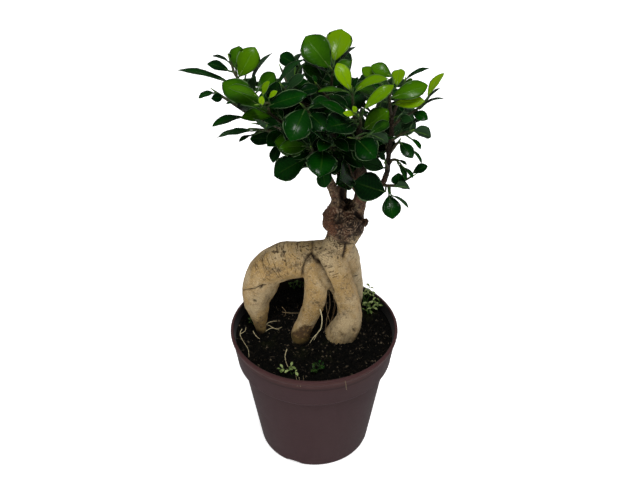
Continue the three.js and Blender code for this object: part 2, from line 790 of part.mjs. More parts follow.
// The pot's outline from the axis, up the outside, over the rim and down the inside, as radius and height.
function potOutline() {
  const collarTop = POT.height - POT.lipHeight;
  const collarTopRadius = POT.rimRadius - POT.lipOverhang;
  const bodyTop = POT.collarBottom - POT.collarStep;
  return {
    outside: [
      [0, 0],
      [POT.footRadius - POT.footCorner, 0],
      [POT.footRadius - 0.3 * POT.footCorner, 0.3 * POT.footCorner],
      [POT.footRadius, POT.footCorner],
      [POT.bodyTopRadius, bodyTop],
      [POT.bodyTopRadius + 1.2, bodyTop + 1.6],
      [POT.collarBottomRadius, POT.collarBottom],
      [collarTopRadius, collarTop],
      [POT.rimRadius, collarTop + 0.6],
      [POT.rimRadius, POT.height - 0.8],
      [POT.rimRadius - 0.8, POT.height],
    ],
    inside: [
      [POT.rimRadius - POT.rimThickness, POT.height],
      [collarTopRadius - POT.wall, collarTop],
      [POT.collarBottomRadius - POT.wall, POT.collarBottom + 0.8],
      [POT.bodyTopRadius - POT.wall, bodyTop],
      [POT.footRadius - POT.wall, POT.footCorner],
      [POT.footRadius - POT.footCorner, POT.floor],
      [0, POT.floor],
    ],
  };
}

function turned(outline, sides) {
  return new THREE.LatheGeometry(
    outline.map(([radius, height]) => new THREE.Vector2(radius, height)),
    sides,
  ).rotateX(Math.PI / 2);
}

function pot() {
  const { outside, inside } = potOutline();
  let body = toSolid(turned([...outside, ...inside], POT.sides));
  const arch = new THREE.Shape();
  const half = POT.archWidth / 2;
  arch.moveTo(-half, -1);
  arch.lineTo(half, -1);
  arch.lineTo(half, 0.4 * POT.archHeight);
  arch.quadraticCurveTo(0.9 * half, POT.archHeight, 0.5 * half, POT.archHeight);
  arch.lineTo(-0.5 * half, POT.archHeight);
  arch.quadraticCurveTo(-0.9 * half, POT.archHeight, -half, 0.4 * POT.archHeight);
  for (let index = 0; index < POT.archCount; index++) {
    const turn = THREE.MathUtils.degToRad(POT.archTurn + (360 / POT.archCount) * index);
    const cutter = new THREE.ExtrudeGeometry(arch, { depth: 20, bevelEnabled: false, curveSegments: 3 })
      .rotateX(Math.PI / 2)
      .translate(0, -(POT.footRadius - POT.archDepth), 0)
      .rotateZ(turn);
    body = body.subtract(toSolid(cutter));
  }
  return body;
}

// The height of the soil at a place: fullest in the middle, with soft bumps that die out at the edge.
function soilHeight(x, y) {
  const edge = insideRadius(SOIL.edgeHeight) - CLEARANCE;
  const inward = Math.max(0, 1 - Math.hypot(x, y) / edge);
  const bumps = Math.sin(0.21 * x + 1.3) * Math.cos(0.17 * y) + 0.5 * Math.sin(0.4 * y - 0.31 * x);
  const rise = (SOIL.middleHeight - SOIL.edgeHeight) * Math.min(1, 1.6 * inward);
  return SOIL.edgeHeight + rise + SOIL.bump * bumps * Math.min(1, 4 * inward);
}

// The pot's inside radius at a height.
function insideRadius(height) {
  const { inside } = potOutline();
  const upper = inside.findIndex(([, level]) => level <= height);
  const [topRadius, top] = inside[upper - 1];
  const [lowRadius, low] = inside[upper];
  return lowRadius + ((topRadius - lowRadius) * (height - low)) / (top - low);
}

function soil(cutters) {
  const { inside } = potOutline();
  const wallPoints = inside
    .slice(2, -1)
    .reverse()
    .map(([radius, height]) => [radius - CLEARANCE, height + CLEARANCE]);
  const edge = insideRadius(SOIL.edgeHeight) - CLEARANCE;
  const outline = [
    [0, POT.floor + CLEARANCE],
    ...wallPoints,
    [edge, SOIL.edgeHeight],
    ...SOIL.ringRadii.map((radius) => [radius, SOIL.middleHeight]),
    [0, SOIL.middleHeight],
  ];
  const geometry = turned(outline, SOIL.sides);
  const places = geometry.getAttribute("position");
  for (let index = 0; index < places.count; index++) {
    if (places.getZ(index) >= SOIL.edgeHeight - 0.01)
      places.setZ(index, soilHeight(places.getX(index), places.getY(index)));
  }
  return cutters.reduce((body, cutter) => body.subtract(cutter), toSolid(geometry));
}

// How wide a blade is at a share of its length, against its widest.
function bladeShape(share) {
  return Math.sin(Math.PI * Math.min(Math.max(share, 0), 1) ** 1.12) ** 0.5;
}

// A blade: a frame at its base, its length along x, its width along y and its arched height along z.
class Blade {
  constructor(base, tip, width, normal, arch) {
    this.base = base;
    this.length = base.distanceTo(tip);
    this.width = width;
    this.arch = arch;
    this.x = tip.clone().sub(base).normalize();
    this.z = normal.clone().addScaledVector(this.x, -normal.dot(this.x)).normalize();
    this.y = this.z.clone().cross(this.x);
  }

  height(share, across) {
    const rise = 4 * this.arch * this.length * share * (1 - share);
    const edge = (2 * across) / this.width;
    return rise + 0.5 * LEAF.cup * this.width * edge * edge * bladeShape(share);
  }

  // The point at a share of the length, across by so many millimetres, lifted off the middle surface.
  point(share, across, lift = 0) {
    return this.base
      .clone()
      .addScaledVector(this.x, share * this.length)
      .addScaledVector(this.y, across)
      .addScaledVector(this.z, this.height(share, across) + lift);
  }

  // How high a place is above the blade, or null where it isn't over it.
  above(place) {
    const offset = place.clone().sub(this.base);
    const along = offset.dot(this.x);
    const across = offset.dot(this.y);
    if (along < -LEAF.rim || along > this.length + LEAF.rim) return null;
    const share = Math.min(Math.max(along / this.length, 0), 1);
    if (Math.abs(across) > 0.5 * this.width * bladeShape(share) + LEAF.rim) return null;
    return offset.dot(this.z) - this.height(share, across);
  }

  // Whether a place, seen from the front, stands before the blade.
  isBehind(place) {
    const line = place.clone().sub(VIEW.position);
    const reach = this.base.clone().sub(VIEW.position).dot(this.z) / line.dot(this.z);
    return reach > 1 && this.above(VIEW.position.clone().addScaledVector(line, reach)) !== null;
  }

  // Points spread over the blade.
  lattice() {
    const points = [];
    for (const share of [0.04, 0.2, 0.36, 0.52, 0.68, 0.84, 0.98]) {
      const half = 0.5 * this.width * bladeShape(share);
      for (const side of [-1, -0.5, 0, 0.5, 1]) points.push(this.point(share, side * half));
    }
    return points;
  }
}

// Whether all the places that lie over a blade lie well clear of it on one side.
function clearOfBlade(blade, places, gap) {
  let side = 0;
  for (const place of places) {
    const height = blade.above(place);
    if (height === null) continue;
    if (Math.abs(height) < gap) return false;
    if (side !== 0 && Math.sign(height) !== side) return false;
    side = Math.sign(height);
  }
  return true;
}

// Whether any point of one list lies nearer than the gap to any of the other.
function comeNearer(places, others, gap) {
  return places.some((place) => others.some((other) => place.distanceTo(other) < gap));
}

// The crown as it fills up: the branches it grows on, the twigs, and the leaves placed so far.
class Crown {
  constructor() {
    this.twigs = [];
    this.leaves = [];
    this.branches = Object.entries(LIMBS)
      .filter(([name]) => name.endsWith("branch") || name === "trunk")
      .map(([, each]) => limbLine(each, TWIG.sample));
  }

  // Whether a blade and its stalk stay out of the wood.
  clearOfBranches(leaf) {
    return this.branches.every(({ path, radii }) =>
      path.every((place, index) => {
        const height = leaf.blade.above(place);
        if (height !== null && Math.abs(height) < radii[index] + ROOM.bladeToBranch) return false;
        const room = radii[index] + ROOM.stalkToBranch;
        return leaf.petiole.every((point) => point.distanceTo(place) > room);
      }),
    );
  }

  add(twig, leaf) {
    twig.taken.add(leaf.start);
    this.leaves.push(leaf);
  }

  // Whether a blade with this lattice would hide much of a leaf that was placed for the front.
  isHiddenBy(lattice) {
    return this.leaves.some(
      ({ front, blade }) =>
        front && lattice.filter((place) => blade.isBehind(place)).length > FILLING.hidingPoints,
    );
  }

  // Whether a twig, past its start, stays clear of the branches and of other twigs.
  hasRoomForTwig({ samples }) {
    return samples.every((place) => {
      const out = place.distanceTo(samples[0]);
      const room = out < ROOM.twigStartLength ? ROOM.twigStartToTwig : ROOM.twigToTwig;
      if (this.twigs.some((twig) => comeNearer([place], twig.samples, room))) return false;
      return this.branches.every(({ path, radii }) =>
        path.every((point, index) => {
          const leaving = out < radii[index] + ROOM.twigLeavingLength;
          return leaving || place.distanceTo(point) > radii[index] + ROOM.twigToBranch;
        }),
      );
    });
  }

  // Whether a leaf of a stem stays clear of every leaf, and of the twigs of other stems.
  hasRoomFor(leaf) {
    const lattice = leaf.blade.lattice();
    const middle = leaf.blade.point(0.5, 0);
    for (const other of this.leaves) {
      const reach = 0.5 * (leaf.blade.length + other.blade.length) + ROOM.farApart;
      if (middle.distanceTo(other.blade.point(0.5, 0)) > reach) continue;
      if (!clearOfBlade(other.blade, lattice, LEAF.gap)) return false;
      if (!clearOfBlade(leaf.blade, other.blade.lattice(), LEAF.gap)) return false;
      if (other.stem === leaf.stem) continue;
      if (!clearOfBlade(other.blade, leaf.petiole, LEAF.gap)) return false;
      if (!clearOfBlade(leaf.blade, other.petiole, LEAF.gap)) return false;
      if (comeNearer(leaf.petiole, other.petiole, ROOM.stalkToStalk)) return false;
    }
    if (!this.clearOfBranches(leaf)) return false;
    return this.twigs.every((twig) => {
      if (twig.stem === leaf.stem) return true;
      if (comeNearer(leaf.petiole, twig.samples, ROOM.stalkToTwig)) return false;
      return clearOfBlade(leaf.blade, twig.samples, ROOM.bladeToTwig);
    });
  }
}

// A twig's path in straight steps, with points close together along it for finding room.
function twigPath(stem, places) {
  const curve = new THREE.CatmullRomCurve3(places);
  const path = curve.getPoints(Math.max(3, Math.round(curve.getLength() / TWIG.spacing)));
  const samples = path.slice(1).flatMap((to, index) => {
    const count = Math.max(1, Math.round(to.distanceTo(path[index]) / TWIG.sample));
    return Array.from({ length: count }, (_, step) => path[index].clone().lerp(to, step / count));
  });
  return { stem, curve, path, samples: [...samples, path.at(-1)], taken: new Set() };
}

// The point of a twig, not yet taken, from which a leaf stalk runs most naturally on into a blade.
function stalkStart(twig, blade) {
  let best = null;
  let lowest = Infinity;
  for (const sample of twig.samples.slice(2)) {
    if (twig.taken.has(sample)) continue;
    const way = blade.base.clone().sub(sample);
    const distance = way.length();
    const bend = 1 - way.dot(blade.x) / Math.max(distance, 0.01);
    const cost = Math.max(distance, LEAF.shortestStalk) * (1 + 1.2 * bend);
    if (cost < lowest) {
      lowest = cost;
      best = sample;
    }
  }
  return best;
}

// A leaf on a twig: its blade, and points along its stalk.
function leafOn(twig, blade) {
  const start = stalkStart(twig, blade);
  const petiole = [0.35, 0.6, 0.85].map((share) => start.clone().lerp(blade.base, share));
  return { stem: twig.stem, blade, start, petiole };
}

// The blade that a leaf of the front shows in the picture, on the twig's nearest point, moved nearer by
// a shift.
function frontBlade(twig, leaf, shift) {
  const anchor = twig.samples.reduce((best, sample) => {
    const [across, down] = pictureOf(sample);
    const distance = Math.hypot(across - leaf.from[0], down - leaf.from[1]);
    return distance < best.distance ? { distance, sample } : best;
  }, { distance: Infinity });
  const depth = anchor.sample.clone().sub(VIEW.position).dot(VIEW.forward);
  const near = VIEW.crownDistance - depth + shift;
  const base = seenNear(leaf.from, near);
  const tip = seenNear(leaf.to, near + leaf.reach);
  const turn = THREE.MathUtils.degToRad(leaf.turn);
  const along = tip.clone().sub(base).normalize();
  const facing = VIEW.position.clone().sub(base);
  facing.addScaledVector(along, -facing.dot(along)).normalize();
  const skyward = along.clone().cross(facing);
  if (skyward.z < 0) skyward.negate();
  const normal = facing.multiplyScalar(Math.cos(turn)).addScaledVector(skyward, Math.sin(turn));
  const scale = (VIEW.crownDistance - near) / VIEW.focal;
  const width = (leaf.wide * scale) / Math.abs(Math.cos(turn));
  return new Blade(base, tip, width, normal, leaf.arch ?? LEAF.arch);
}

const DEPTH_SHIFTS = [0, 2.5, -2.5, 5, -5, 7.5, -7.5, 10, -10, 12.5, -12.5, 15, -15, 18, -18, 22, -22];

function addFrontLeaves(crown) {
  for (const twig of crown.twigs) {
    for (const leaf of STEMS[twig.stem]?.leaves ?? []) {
      for (const shift of DEPTH_SHIFTS) {
        const placed = { ...leafOn(twig, frontBlade(twig, leaf, shift)), front: true };
        if (crown.hasRoomFor(placed)) {
          crown.add(twig, placed);
          break;
        }
      }
    }
  }
}

function insideOutline([across, down]) {
  let inside = false;
  CROWN_OUTLINE.forEach(([x1, y1], index) => {
    const [x2, y2] = CROWN_OUTLINE[(index + 1) % CROWN_OUTLINE.length];
    const crosses = y1 > down !== y2 > down;
    if (crosses && across < ((x2 - x1) * (down - y1)) / (y2 - y1) + x1) inside = !inside;
  });
  return inside;
}

// A blade that springs from a twig at a share of its path, turned round it by an angle.
function springingBlade(twig, share, angle, rise, length, ratio) {
  const start = twig.curve.getPoint(share);
  const axis = twig.curve.getTangent(share);
  const side = new THREE.Vector3(0, 0, 1).cross(axis).normalize();
  const over = axis.clone().cross(side);
  const way = side.multiplyScalar(Math.cos(angle)).addScaledVector(over, Math.sin(angle));
  way.multiplyScalar(0.85).addScaledVector(axis, 0.75);
  way.z += rise;
  way.normalize();
  const base = start.clone().addScaledVector(way, FILLING.stalk);
  const tip = base.clone().addScaledVector(way, length);
  const outward = base.clone().sub(CROWN_CENTRE).normalize();
  const normal = outward.addScaledVector(new THREE.Vector3(0, 0, 1), 0.8);
  return new Blade(base, tip, ratio * length, normal, LEAF.arch);
}

// The first blade, of those that a node of a twig could bear, that has room inside the crown.
function leafAtNode(crown, twig, share, angle, length, ratio) {
  for (const { swing, rise } of FILLING.leafSwings) {
    const blade = springingBlade(twig, share, angle + swing, rise, length, ratio);
    const leaf = leafOn(twig, blade);
    const lattice = blade.lattice();
    const inside = lattice.every((place) => insideOutline(pictureOf(place)));
    if (inside && !crown.isHiddenBy(lattice) && crown.hasRoomFor(leaf)) return leaf;
  }
  return null;
}

function addFillingLeaves(crown) {
  const random = seededRandom(FILLING.seed);
  for (const twig of crown.twigs) {
    const startAngle = 2 * Math.PI * random();
    const clothed = (1 - FILLING.firstLeaf) * twig.curve.getLength();
    const nodes = Math.round(clothed / FILLING.nodeSpacing);
    for (let node = 0; node <= nodes; node++) {
      const share = FILLING.firstLeaf + ((1 - FILLING.firstLeaf) * node) / nodes;
      const length = between(random, FILLING.leafLength);
      const ratio = between(random, FILLING.leafRatio);
      const leaf = leafAtNode(crown, twig, share, startAngle + GOLDEN_ANGLE * node, length, ratio);
      if (leaf) crown.add(twig, leaf);
    }
  }
}

// The shares of a blade's length at which its mesh has a row of points.
function bladeRows(length) {
  if (length < LEAF.budLength) return LEAF.budRows;
  return length < LEAF.smallLength ? LEAF.smallRows : LEAF.rows;
}

// A leaf's closed mesh: its stalk runs from inside the twig into the blade, whose edges are sharp.
function leafGeometry({ blade, start }) {
  const half = 0.5 * LEAF.thickness;
  const way = blade.base.clone().sub(start).normalize();
  const bend = new THREE.Quaternion().setFromUnitVectors(blade.x, way);
  const mitre = new THREE.Quaternion().slerp(bend, 0.5);
  const stalkRing = (place, turn) =>
    [blade.y.clone().negate(), blade.z.clone().negate(), blade.y.clone(), blade.z.clone()].map((side) =>
      place.clone().addScaledVector(side.applyQuaternion(turn), LEAF.stalkRadius),
    );
  const bladeRing = (share) => {
    const side = 0.5 * blade.width * bladeShape(share);
    return [
      blade.point(share, -side),
      blade.point(share, 0, -half),
      blade.point(share, side),
      blade.point(share, 0, half),
    ];
  };
  const rings = [stalkRing(start, bend), stalkRing(blade.base, mitre)];
  rings.push(...bladeRows(blade.length).map(bladeRing));
  return skin(rings, start, blade.point(1, 0));
}

function twigSolid({ path }) {
  const radii = path.map((_, index) =>
    THREE.MathUtils.lerp(TWIG.baseRadius, TWIG.tipRadius, index / (path.length - 1)),
  );
  return toSolid(tube(path, radii, TWIG.sides));
}

// A stem's twig by rule, grown along the way given or, where that is taken, swung a little round.
function fillingTwig(crown, stem, { seen, depth, turn, rise, length }) {
  const start = seenAtDepth(seen, depth);
  const up = THREE.MathUtils.degToRad(rise);
  for (const swing of FILLING.twigSwings) {
    const around = THREE.MathUtils.degToRad(turn + swing);
    const way = new THREE.Vector3(
      Math.cos(around) * Math.cos(up),
      Math.sin(around) * Math.cos(up),
      Math.sin(up),
    );
    const middle = start.clone().addScaledVector(way, 0.5 * length);
    const end = start.clone().addScaledVector(way, length);
    middle.z += 0.08 * length;
    const twig = twigPath(stem, [start, middle, end]);
    if (crown.hasRoomForTwig(twig)) return twig;
  }
  throw new Error(`no room for the twig of ${stem}`);
}

function grownCrown() {
  const crown = new Crown();
  for (const [stem, { twig }] of Object.entries(STEMS))
    crown.twigs.push(twigPath(stem, twig.map(({ seen, near }) => seenNear(seen, near))));
  for (const [stem, growth] of Object.entries(FILLING_STEMS))
    crown.twigs.push(fillingTwig(crown, stem, growth));
  addFrontLeaves(crown);
  addFillingLeaves(crown);
  return crown;
}

function leafyStem(crown, twig, cutter) {
  const leaves = crown.leaves.filter(({ stem }) => stem === twig.stem);
  const solids = leaves.map((leaf) => toSolid(leafGeometry(leaf)));
  return largestBody(joined([twigSolid(twig), ...solids]).subtract(cutter));
}

function piece(name, solid, color, roughness) {
  const material = new THREE.MeshStandardMaterial({ color, roughness, metalness: 0 });
  const mesh = new THREE.Mesh(toGeometry(solid), material);
  mesh.name = name;
  return mesh;
}

const ficus = new THREE.Group();
ficus.name = "ginseng_ficus";
ficus.add(piece("pot", pot(), 0x3e2c2c, 0.45));
ficus.add(piece("soil", soil([woodyBody(CLEARANCE)]), 0x1d1a17, 0.95));
ficus.add(piece("trunk_roots", woodyBody(), 0xc0a87c, 0.7));

const crown = grownCrown();
const woodCutter = woodyBody(CLEARANCE);
for (const twig of crown.twigs)
  ficus.add(piece(`leafy_stem_${twig.stem}`, leafyStem(crown, twig, woodCutter), 0x1f5a10, 0.4));

export default ficus;
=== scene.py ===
"""A ginseng ficus in its nursery pot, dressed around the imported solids.

The roots, trunk and branches are lofted again from their limb lines with bark of their own. The leafy
stems are read from the frame, and each gets real blades, stalks and twigs in the same places. The pot,
the peat, the rootlets and the seedlings follow the frame's sizes. All is in metres, +Z up, front at -Y.
"""

import itertools
import logging
import math
from dataclasses import dataclass, field, replace
from enum import Enum
from typing import Callable, Iterable, Mapping, Optional, Sequence, Union

import bmesh
import bpy
import numpy as np
from bpy.types import Material, Mesh, Object
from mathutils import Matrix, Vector
from mathutils.bvhtree import BVHTree
from mathutils.kdtree import KDTree
from numpy.linalg import norm


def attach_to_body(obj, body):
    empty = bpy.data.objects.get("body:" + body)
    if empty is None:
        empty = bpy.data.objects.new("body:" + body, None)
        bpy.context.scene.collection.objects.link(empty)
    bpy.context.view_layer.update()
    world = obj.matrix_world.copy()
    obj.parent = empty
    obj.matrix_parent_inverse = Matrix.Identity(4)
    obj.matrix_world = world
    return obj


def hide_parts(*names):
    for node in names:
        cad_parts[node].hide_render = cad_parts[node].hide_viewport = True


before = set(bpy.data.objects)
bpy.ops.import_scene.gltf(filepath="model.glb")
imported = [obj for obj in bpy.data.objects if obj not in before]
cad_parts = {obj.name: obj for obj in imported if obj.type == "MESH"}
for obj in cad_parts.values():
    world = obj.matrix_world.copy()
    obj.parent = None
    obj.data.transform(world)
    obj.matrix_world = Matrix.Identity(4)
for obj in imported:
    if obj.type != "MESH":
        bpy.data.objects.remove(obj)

log = logging.getLogger("ficus")

MM = 0.001

Array = np.ndarray
Point = Sequence[float]
Pair = tuple[float, float]
Triple = tuple[float, float, float]
Places = tuple[tuple[float, ...], ...]
Colour = tuple[float, float, float, float]
Number = Union[float, int, "Link"]
Input = Union[Number, Sequence[float], str, bpy.types.ID]


@dataclass(frozen=True)
class Link:
    """An output socket of a node tree, whose operators add Math nodes after it."""

    graph: "Graph"
    socket: Optional[bpy.types.NodeSocket]

    def __add__(self, other: Number) -> "Link":
        """Returns the sum."""
        return self.graph.math("ADD", self, other)

    def __sub__(self, other: Number) -> "Link":
        """Returns the difference."""
        return self.graph.math("SUBTRACT", self, other)

    def __rsub__(self, other: Number) -> "Link":
        """Returns the difference from a number before it."""
        return self.graph.math("SUBTRACT", other, self)

    def __mul__(self, other: Number) -> "Link":
        """Returns the product."""
        return self.graph.math("MULTIPLY", self, other)

    def __pow__(self, other: Number) -> "Link":
        """Returns the power."""
        return self.graph.math("POWER", self, other)

    __radd__ = __add__
    __rmul__ = __mul__


@dataclass
class Graph:
    """A node tree that is built by calls, one for each node."""

    tree: bpy.types.NodeTree

    def node(
        self,
        kind: str,
        settings: Optional[Mapping[str, object]] = None,
        inputs: Optional[Mapping[Union[str, int], Input]] = None,
        output: Union[str, int] = 0,
    ) -> Link:
        """Adds one node.

        Args:
            kind: The node's type.
            settings: Its properties, which are set first.
            inputs: Values or links for its sockets, by name or place.
            output: Which of its outputs to return.

        Returns:
            The link from the chosen output.
        """
        made = self.tree.nodes.new(kind)
        for name, value in (settings or {}).items():
            setattr(made, name, value)
        for name, value in (inputs or {}).items():
            if isinstance(value, Link):
                self.tree.links.new(value.socket, made.inputs[name])
            else:
                made.inputs[name].default_value = value
        return Link(self, made.outputs[output] if len(made.outputs) else None)

    def other(self, link: Link, output: str) -> Link:
        """Returns another output of the node that a link comes from."""
        return Link(self, link.socket.node.outputs[output])

    def math(self, operation: str, *values: Number) -> Link:
        """Adds a Math node on one to three numbers."""
        return self.node("ShaderNodeMath", {"operation": operation}, dict(enumerate(values)))

    def vector(self, operation: str, *values: Input, output: Union[str, int] = 0) -> Link:
        """Adds a Vector Math node on one or two vectors."""
        return self.node("ShaderNodeVectorMath", {"operation": operation}, dict(enumerate(values)), output)

    def scaled(self, vector: Input, scale: Number) -> Link:
        """Returns a vector times a number."""
        return self.node("ShaderNodeVectorMath", {"operation": "SCALE"}, {0: vector, "Scale": scale})

    def combine(self, x: Number, y: Number, z: Number) -> Link:
        """Returns a vector of three numbers."""
        return self.node("ShaderNodeCombineXYZ", None, {"X": x, "Y": y, "Z": z})

    def part(self, vector: Link, axis: str) -> Link:
        """Returns one component of a vector, X, Y or Z."""
        return self.node("ShaderNodeSeparateXYZ", None, {0: vector}, axis)

    def noise(self, place: Link, scale: float, detail: float = 3.0, rough: float = 0.55) -> Link:
        """Returns Noise Texture's value, from about 0.3 to 0.7, at a place."""
        sockets = {"Vector": place, "Scale": scale, "Detail": detail, "Roughness": rough}
        return self.node("ShaderNodeTexNoise", None, sockets, 0)

    def step(self, value: Number, low: float, high: float, to: Pair = (0, 1)) -> Link:
        """Returns a smooth step of a value.

        Args:
            value: The value.
            low: Where the step starts. It may be above high, which turns the step round.
            high: Where it ends.
            to: The numbers before and after the step.

        Returns:
            The stepped value.
        """
        settings = {"interpolation_type": "SMOOTHSTEP"}
        if low > high:
            low, high, to = high, low, (to[1], to[0])
        sockets = {"Value": value, "From Min": low, "From Max": high, "To Min": to[0], "To Max": to[1]}
        return self.node("ShaderNodeMapRange", settings, sockets)

    def blend(self, share: Number, first: Input, second: Input) -> Link:
        """Returns a mix of two colours, the first where the share is 0."""
        settings = {"data_type": "RGBA", "clamp_factor": True}
        return self.node("ShaderNodeMix", settings, {0: share, 6: first, 7: second}, 2)


class Shape(Graph):
    """A Geometry Nodes tree with named inputs, which is run on a mesh and gives a plain mesh back."""

    def __init__(self, name: str, numbers: Mapping[str, float]) -> None:
        """Makes the tree and its interface.

        Args:
            name: The tree's name.
            numbers: The named sizes that the tree takes, with their values.
        """
        super().__init__(bpy.data.node_groups.new(name, "GeometryNodeTree"))
        face = self.tree.interface
        face.new_socket("Geometry", in_out="INPUT", socket_type="NodeSocketGeometry")
        face.new_socket("Geometry", in_out="OUTPUT", socket_type="NodeSocketGeometry")
        kinds = {key: "Int" if isinstance(value, int) else "Float" for key, value in numbers.items()}
        self.keys = {
            key: face.new_socket(key, in_out="INPUT", socket_type=f"NodeSocket{kind}").identifier
            for key, kind in {"Material": "Material", **kinds}.items()
        }
        self.numbers = dict(numbers)
        self.source = self.tree.nodes.new("NodeGroupInput")
        self.sink = self.tree.nodes.new("NodeGroupOutput")

    def given(self, name: str) -> Link:
        """Returns one of the tree's named inputs."""
        return Link(self, self.source.outputs[name])

    def named(self, name: str, kind: str = "FLOAT") -> Link:
        """Returns an attribute of the geometry by its name."""
        return self.node("GeometryNodeInputNamedAttribute", {"data_type": kind}, {"Name": name})

    def store(self, geometry: Link, name: str, value: Number, domain: str = "POINT") -> Link:
        """Stores a number on the geometry's points or instances under a name."""
        sockets = {"Geometry": geometry, "Name": name, "Value": value}
        return self.node("GeometryNodeStoreNamedAttribute", {"data_type": "FLOAT", "domain": domain}, sockets)

    def moved(self, geometry: Link, offset: Link) -> Link:
        """Returns the geometry with its points moved by an offset."""
        return self.node("GeometryNodeSetPosition", None, {"Geometry": geometry, "Offset": offset})

    def end(self, geometry: Link) -> None:
        """Ends the tree: instances are made real, and all gets the material.

        Args:
            geometry: What the tree has made.
        """
        real = self.node("GeometryNodeRealizeInstances", None, {0: geometry})
        sockets = {"Geometry": real, "Material": self.given("Material")}
        painted = self.node("GeometryNodeSetMaterial", None, sockets)
        self.tree.links.new(painted.socket, self.sink.inputs[0])

    def run(self, mesh: Mesh, material: Material) -> Mesh:
        """Runs the tree on a mesh.

        Args:
            mesh: The mesh to start from, which is used up.
            material: The material for what comes out.

        Returns:
            The resulting plain mesh.
        """

        def attach(carrier: Object) -> None:
            """Adds the modifier that runs the tree.

            Args:
                carrier: The object that carries the mesh.
            """
            modifier = carrier.modifiers.new("shape", "NODES")
            modifier.node_group = self.tree
            for name, value in {"Material": material, **self.numbers}.items():
                modifier[self.keys[name]] = value

        return evaluated(mesh, attach)


class Paint(Graph):
    """The node tree of a material, on Object coordinates and the piece's own attributes."""

    def __init__(self, name: str) -> None:
        """Makes an empty material.

        Args:
            name: The material's name.
        """
        self.material = bpy.data.materials.new(name)
        self.material.use_nodes = True
        super().__init__(self.material.node_tree)
        self.tree.nodes.clear()
        self.place = self.node("ShaderNodeTexCoord", None, None, "Object")

    def named(self, name: str, output: str = "Fac") -> Link:
        """Returns an attribute of the piece by its name."""
        return self.node("ShaderNodeAttribute", {"attribute_name": name}, None, output)

    def finish(
        self,
        colour: Link,
        roughness: Number,
        height: Optional[Link] = None,
        depth: float = 0.0,
        fixed: Optional[Mapping[str, float]] = None,
    ) -> Material:
        """Ends the tree in a Principled shader.

        Args:
            colour: The base colour.
            roughness: The roughness.
            height: What the bump reads, from 0 to 1.
            depth: The bump's depth in metres.
            fixed: Shader sockets that are the same all over.

        Returns:
            The material.
        """
        sockets = {"Base Color": colour, "Roughness": roughness, **(fixed or {})}
        if height is not None:
            bump = {"Strength": 1.0, "Distance": depth, "Height": height}
            sockets["Normal"] = self.node("ShaderNodeBump", None, bump)
        shader = self.node("ShaderNodeBsdfPrincipled", None, sockets)
        self.node("ShaderNodeOutputMaterial", None, {"Surface": shader})
        return self.material


def srgb(red: int, green: int, blue: int) -> tuple[float, float, float, float]:
    """Returns a colour given in 0 to 255 as the shader's linear colour."""
    linear = [((c / 255 + 0.055) / 1.055) ** 2.4 if c > 10 else c / 3294.6 for c in (red, green, blue)]
    return (*linear, 1.0)


@dataclass(frozen=True)
class PhotoView:
    """The viewpoint that the photograph was taken from, in metres and picture points."""

    position: Triple = (0.0042, -0.592, 0.594)
    pitch: float = math.radians(35.14)
    focal: float = 1068.8
    width: float = 640.0
    height: float = 480.0
    sensor: float = 36.0

    def at_depth(self, across: float, down: float, depth: float) -> Array:
        """Finds a place by where it is seen.

        Args:
            across: The picture point's distance from the left.
            down: Its distance from the top.
            depth: How far the place is behind the pot's axis, in metres.

        Returns:
            The place.
        """
        right = (across - self.width / 2) / self.focal
        up = (self.height / 2 - down) / self.focal
        sine, cosine = math.sin(self.pitch), math.cos(self.pitch)
        line = np.array([right, cosine + up * sine, up * cosine - sine])
        start = np.array(self.position)
        return start + line * (depth - start[1]) / line[1]

    def on_level(self, across: float, down: float, level: float) -> Array:
        """Finds a place by where it is seen.

        Args:
            across: The picture point's distance from the left.
            down: Its distance from the top.
            level: The place's height, in metres.

        Returns:
            The place.
        """
        low = self.at_depth(across, down, 0.0)
        start = np.array(self.position)
        return start + (low - start) * (level - start[2]) / (low[2] - start[2])

    def picture_of(self, places: Array) -> Array:
        """Finds where places are seen.

        Args:
            places: The places, one a row.

        Returns:
            Their picture points, one a row.
        """
        offset = places - np.array(self.position)
        sine, cosine = math.sin(self.pitch), math.cos(self.pitch)
        up = offset[:, 1] * sine + offset[:, 2] * cosine
        scale = self.focal / (offset[:, 1] * cosine - offset[:, 2] * sine)
        return np.stack([self.width / 2 + offset[:, 0] * scale, self.height / 2 - up * scale], axis=1)

    def make_camera(self) -> None:
        """Makes the scene's camera at this viewpoint."""
        data = bpy.data.cameras.new("camera")
        data.sensor_width = self.sensor
        data.lens = self.focal * self.sensor / self.width
        camera = placed("camera", data)
        camera.location = self.position
        camera.rotation_euler = (math.pi / 2 - self.pitch, 0, 0)
        bpy.context.scene.camera = camera


VIEW = PhotoView()


def placed(name: str, data: bpy.types.ID) -> Object:
    """Returns a new object of the scene that carries a mesh, a lamp or a camera."""
    made = bpy.data.objects.new(name, data)
    bpy.context.scene.collection.objects.link(made)
    return made


def unit(vector: Array) -> Array:
    """Returns a vector of length 1 in the same direction."""
    return vector / norm(vector)


def mesh_of(points: Sequence[Point], faces: Sequence[Sequence[int]] = (), edges: Sequence = ()) -> Mesh:
    """Returns a mesh of points with faces or edges."""
    mesh = bpy.data.meshes.new("mesh")
    mesh.from_pydata([tuple(point) for point in points], edges, faces)
    mesh.update()
    return mesh


def rows_of(data: bpy.types.bpy_prop_collection, name: str) -> Array:
    """Returns the vectors that a mesh holds under a name, one a row."""
    flat = np.zeros(len(data) * 3, np.float32)
    data.foreach_get(name, flat)
    return flat.reshape(-1, 3).astype(float)


def put(mesh: Mesh, name: str, values: Array) -> None:
    """Stores numbers or vectors on a mesh's points as an attribute."""
    is_vector = values.ndim == 2
    attribute = mesh.attributes.new(name, "FLOAT_VECTOR" if is_vector else "FLOAT", "POINT")
    attribute.data.foreach_set("vector" if is_vector else "value", values.astype(np.float32).ravel())


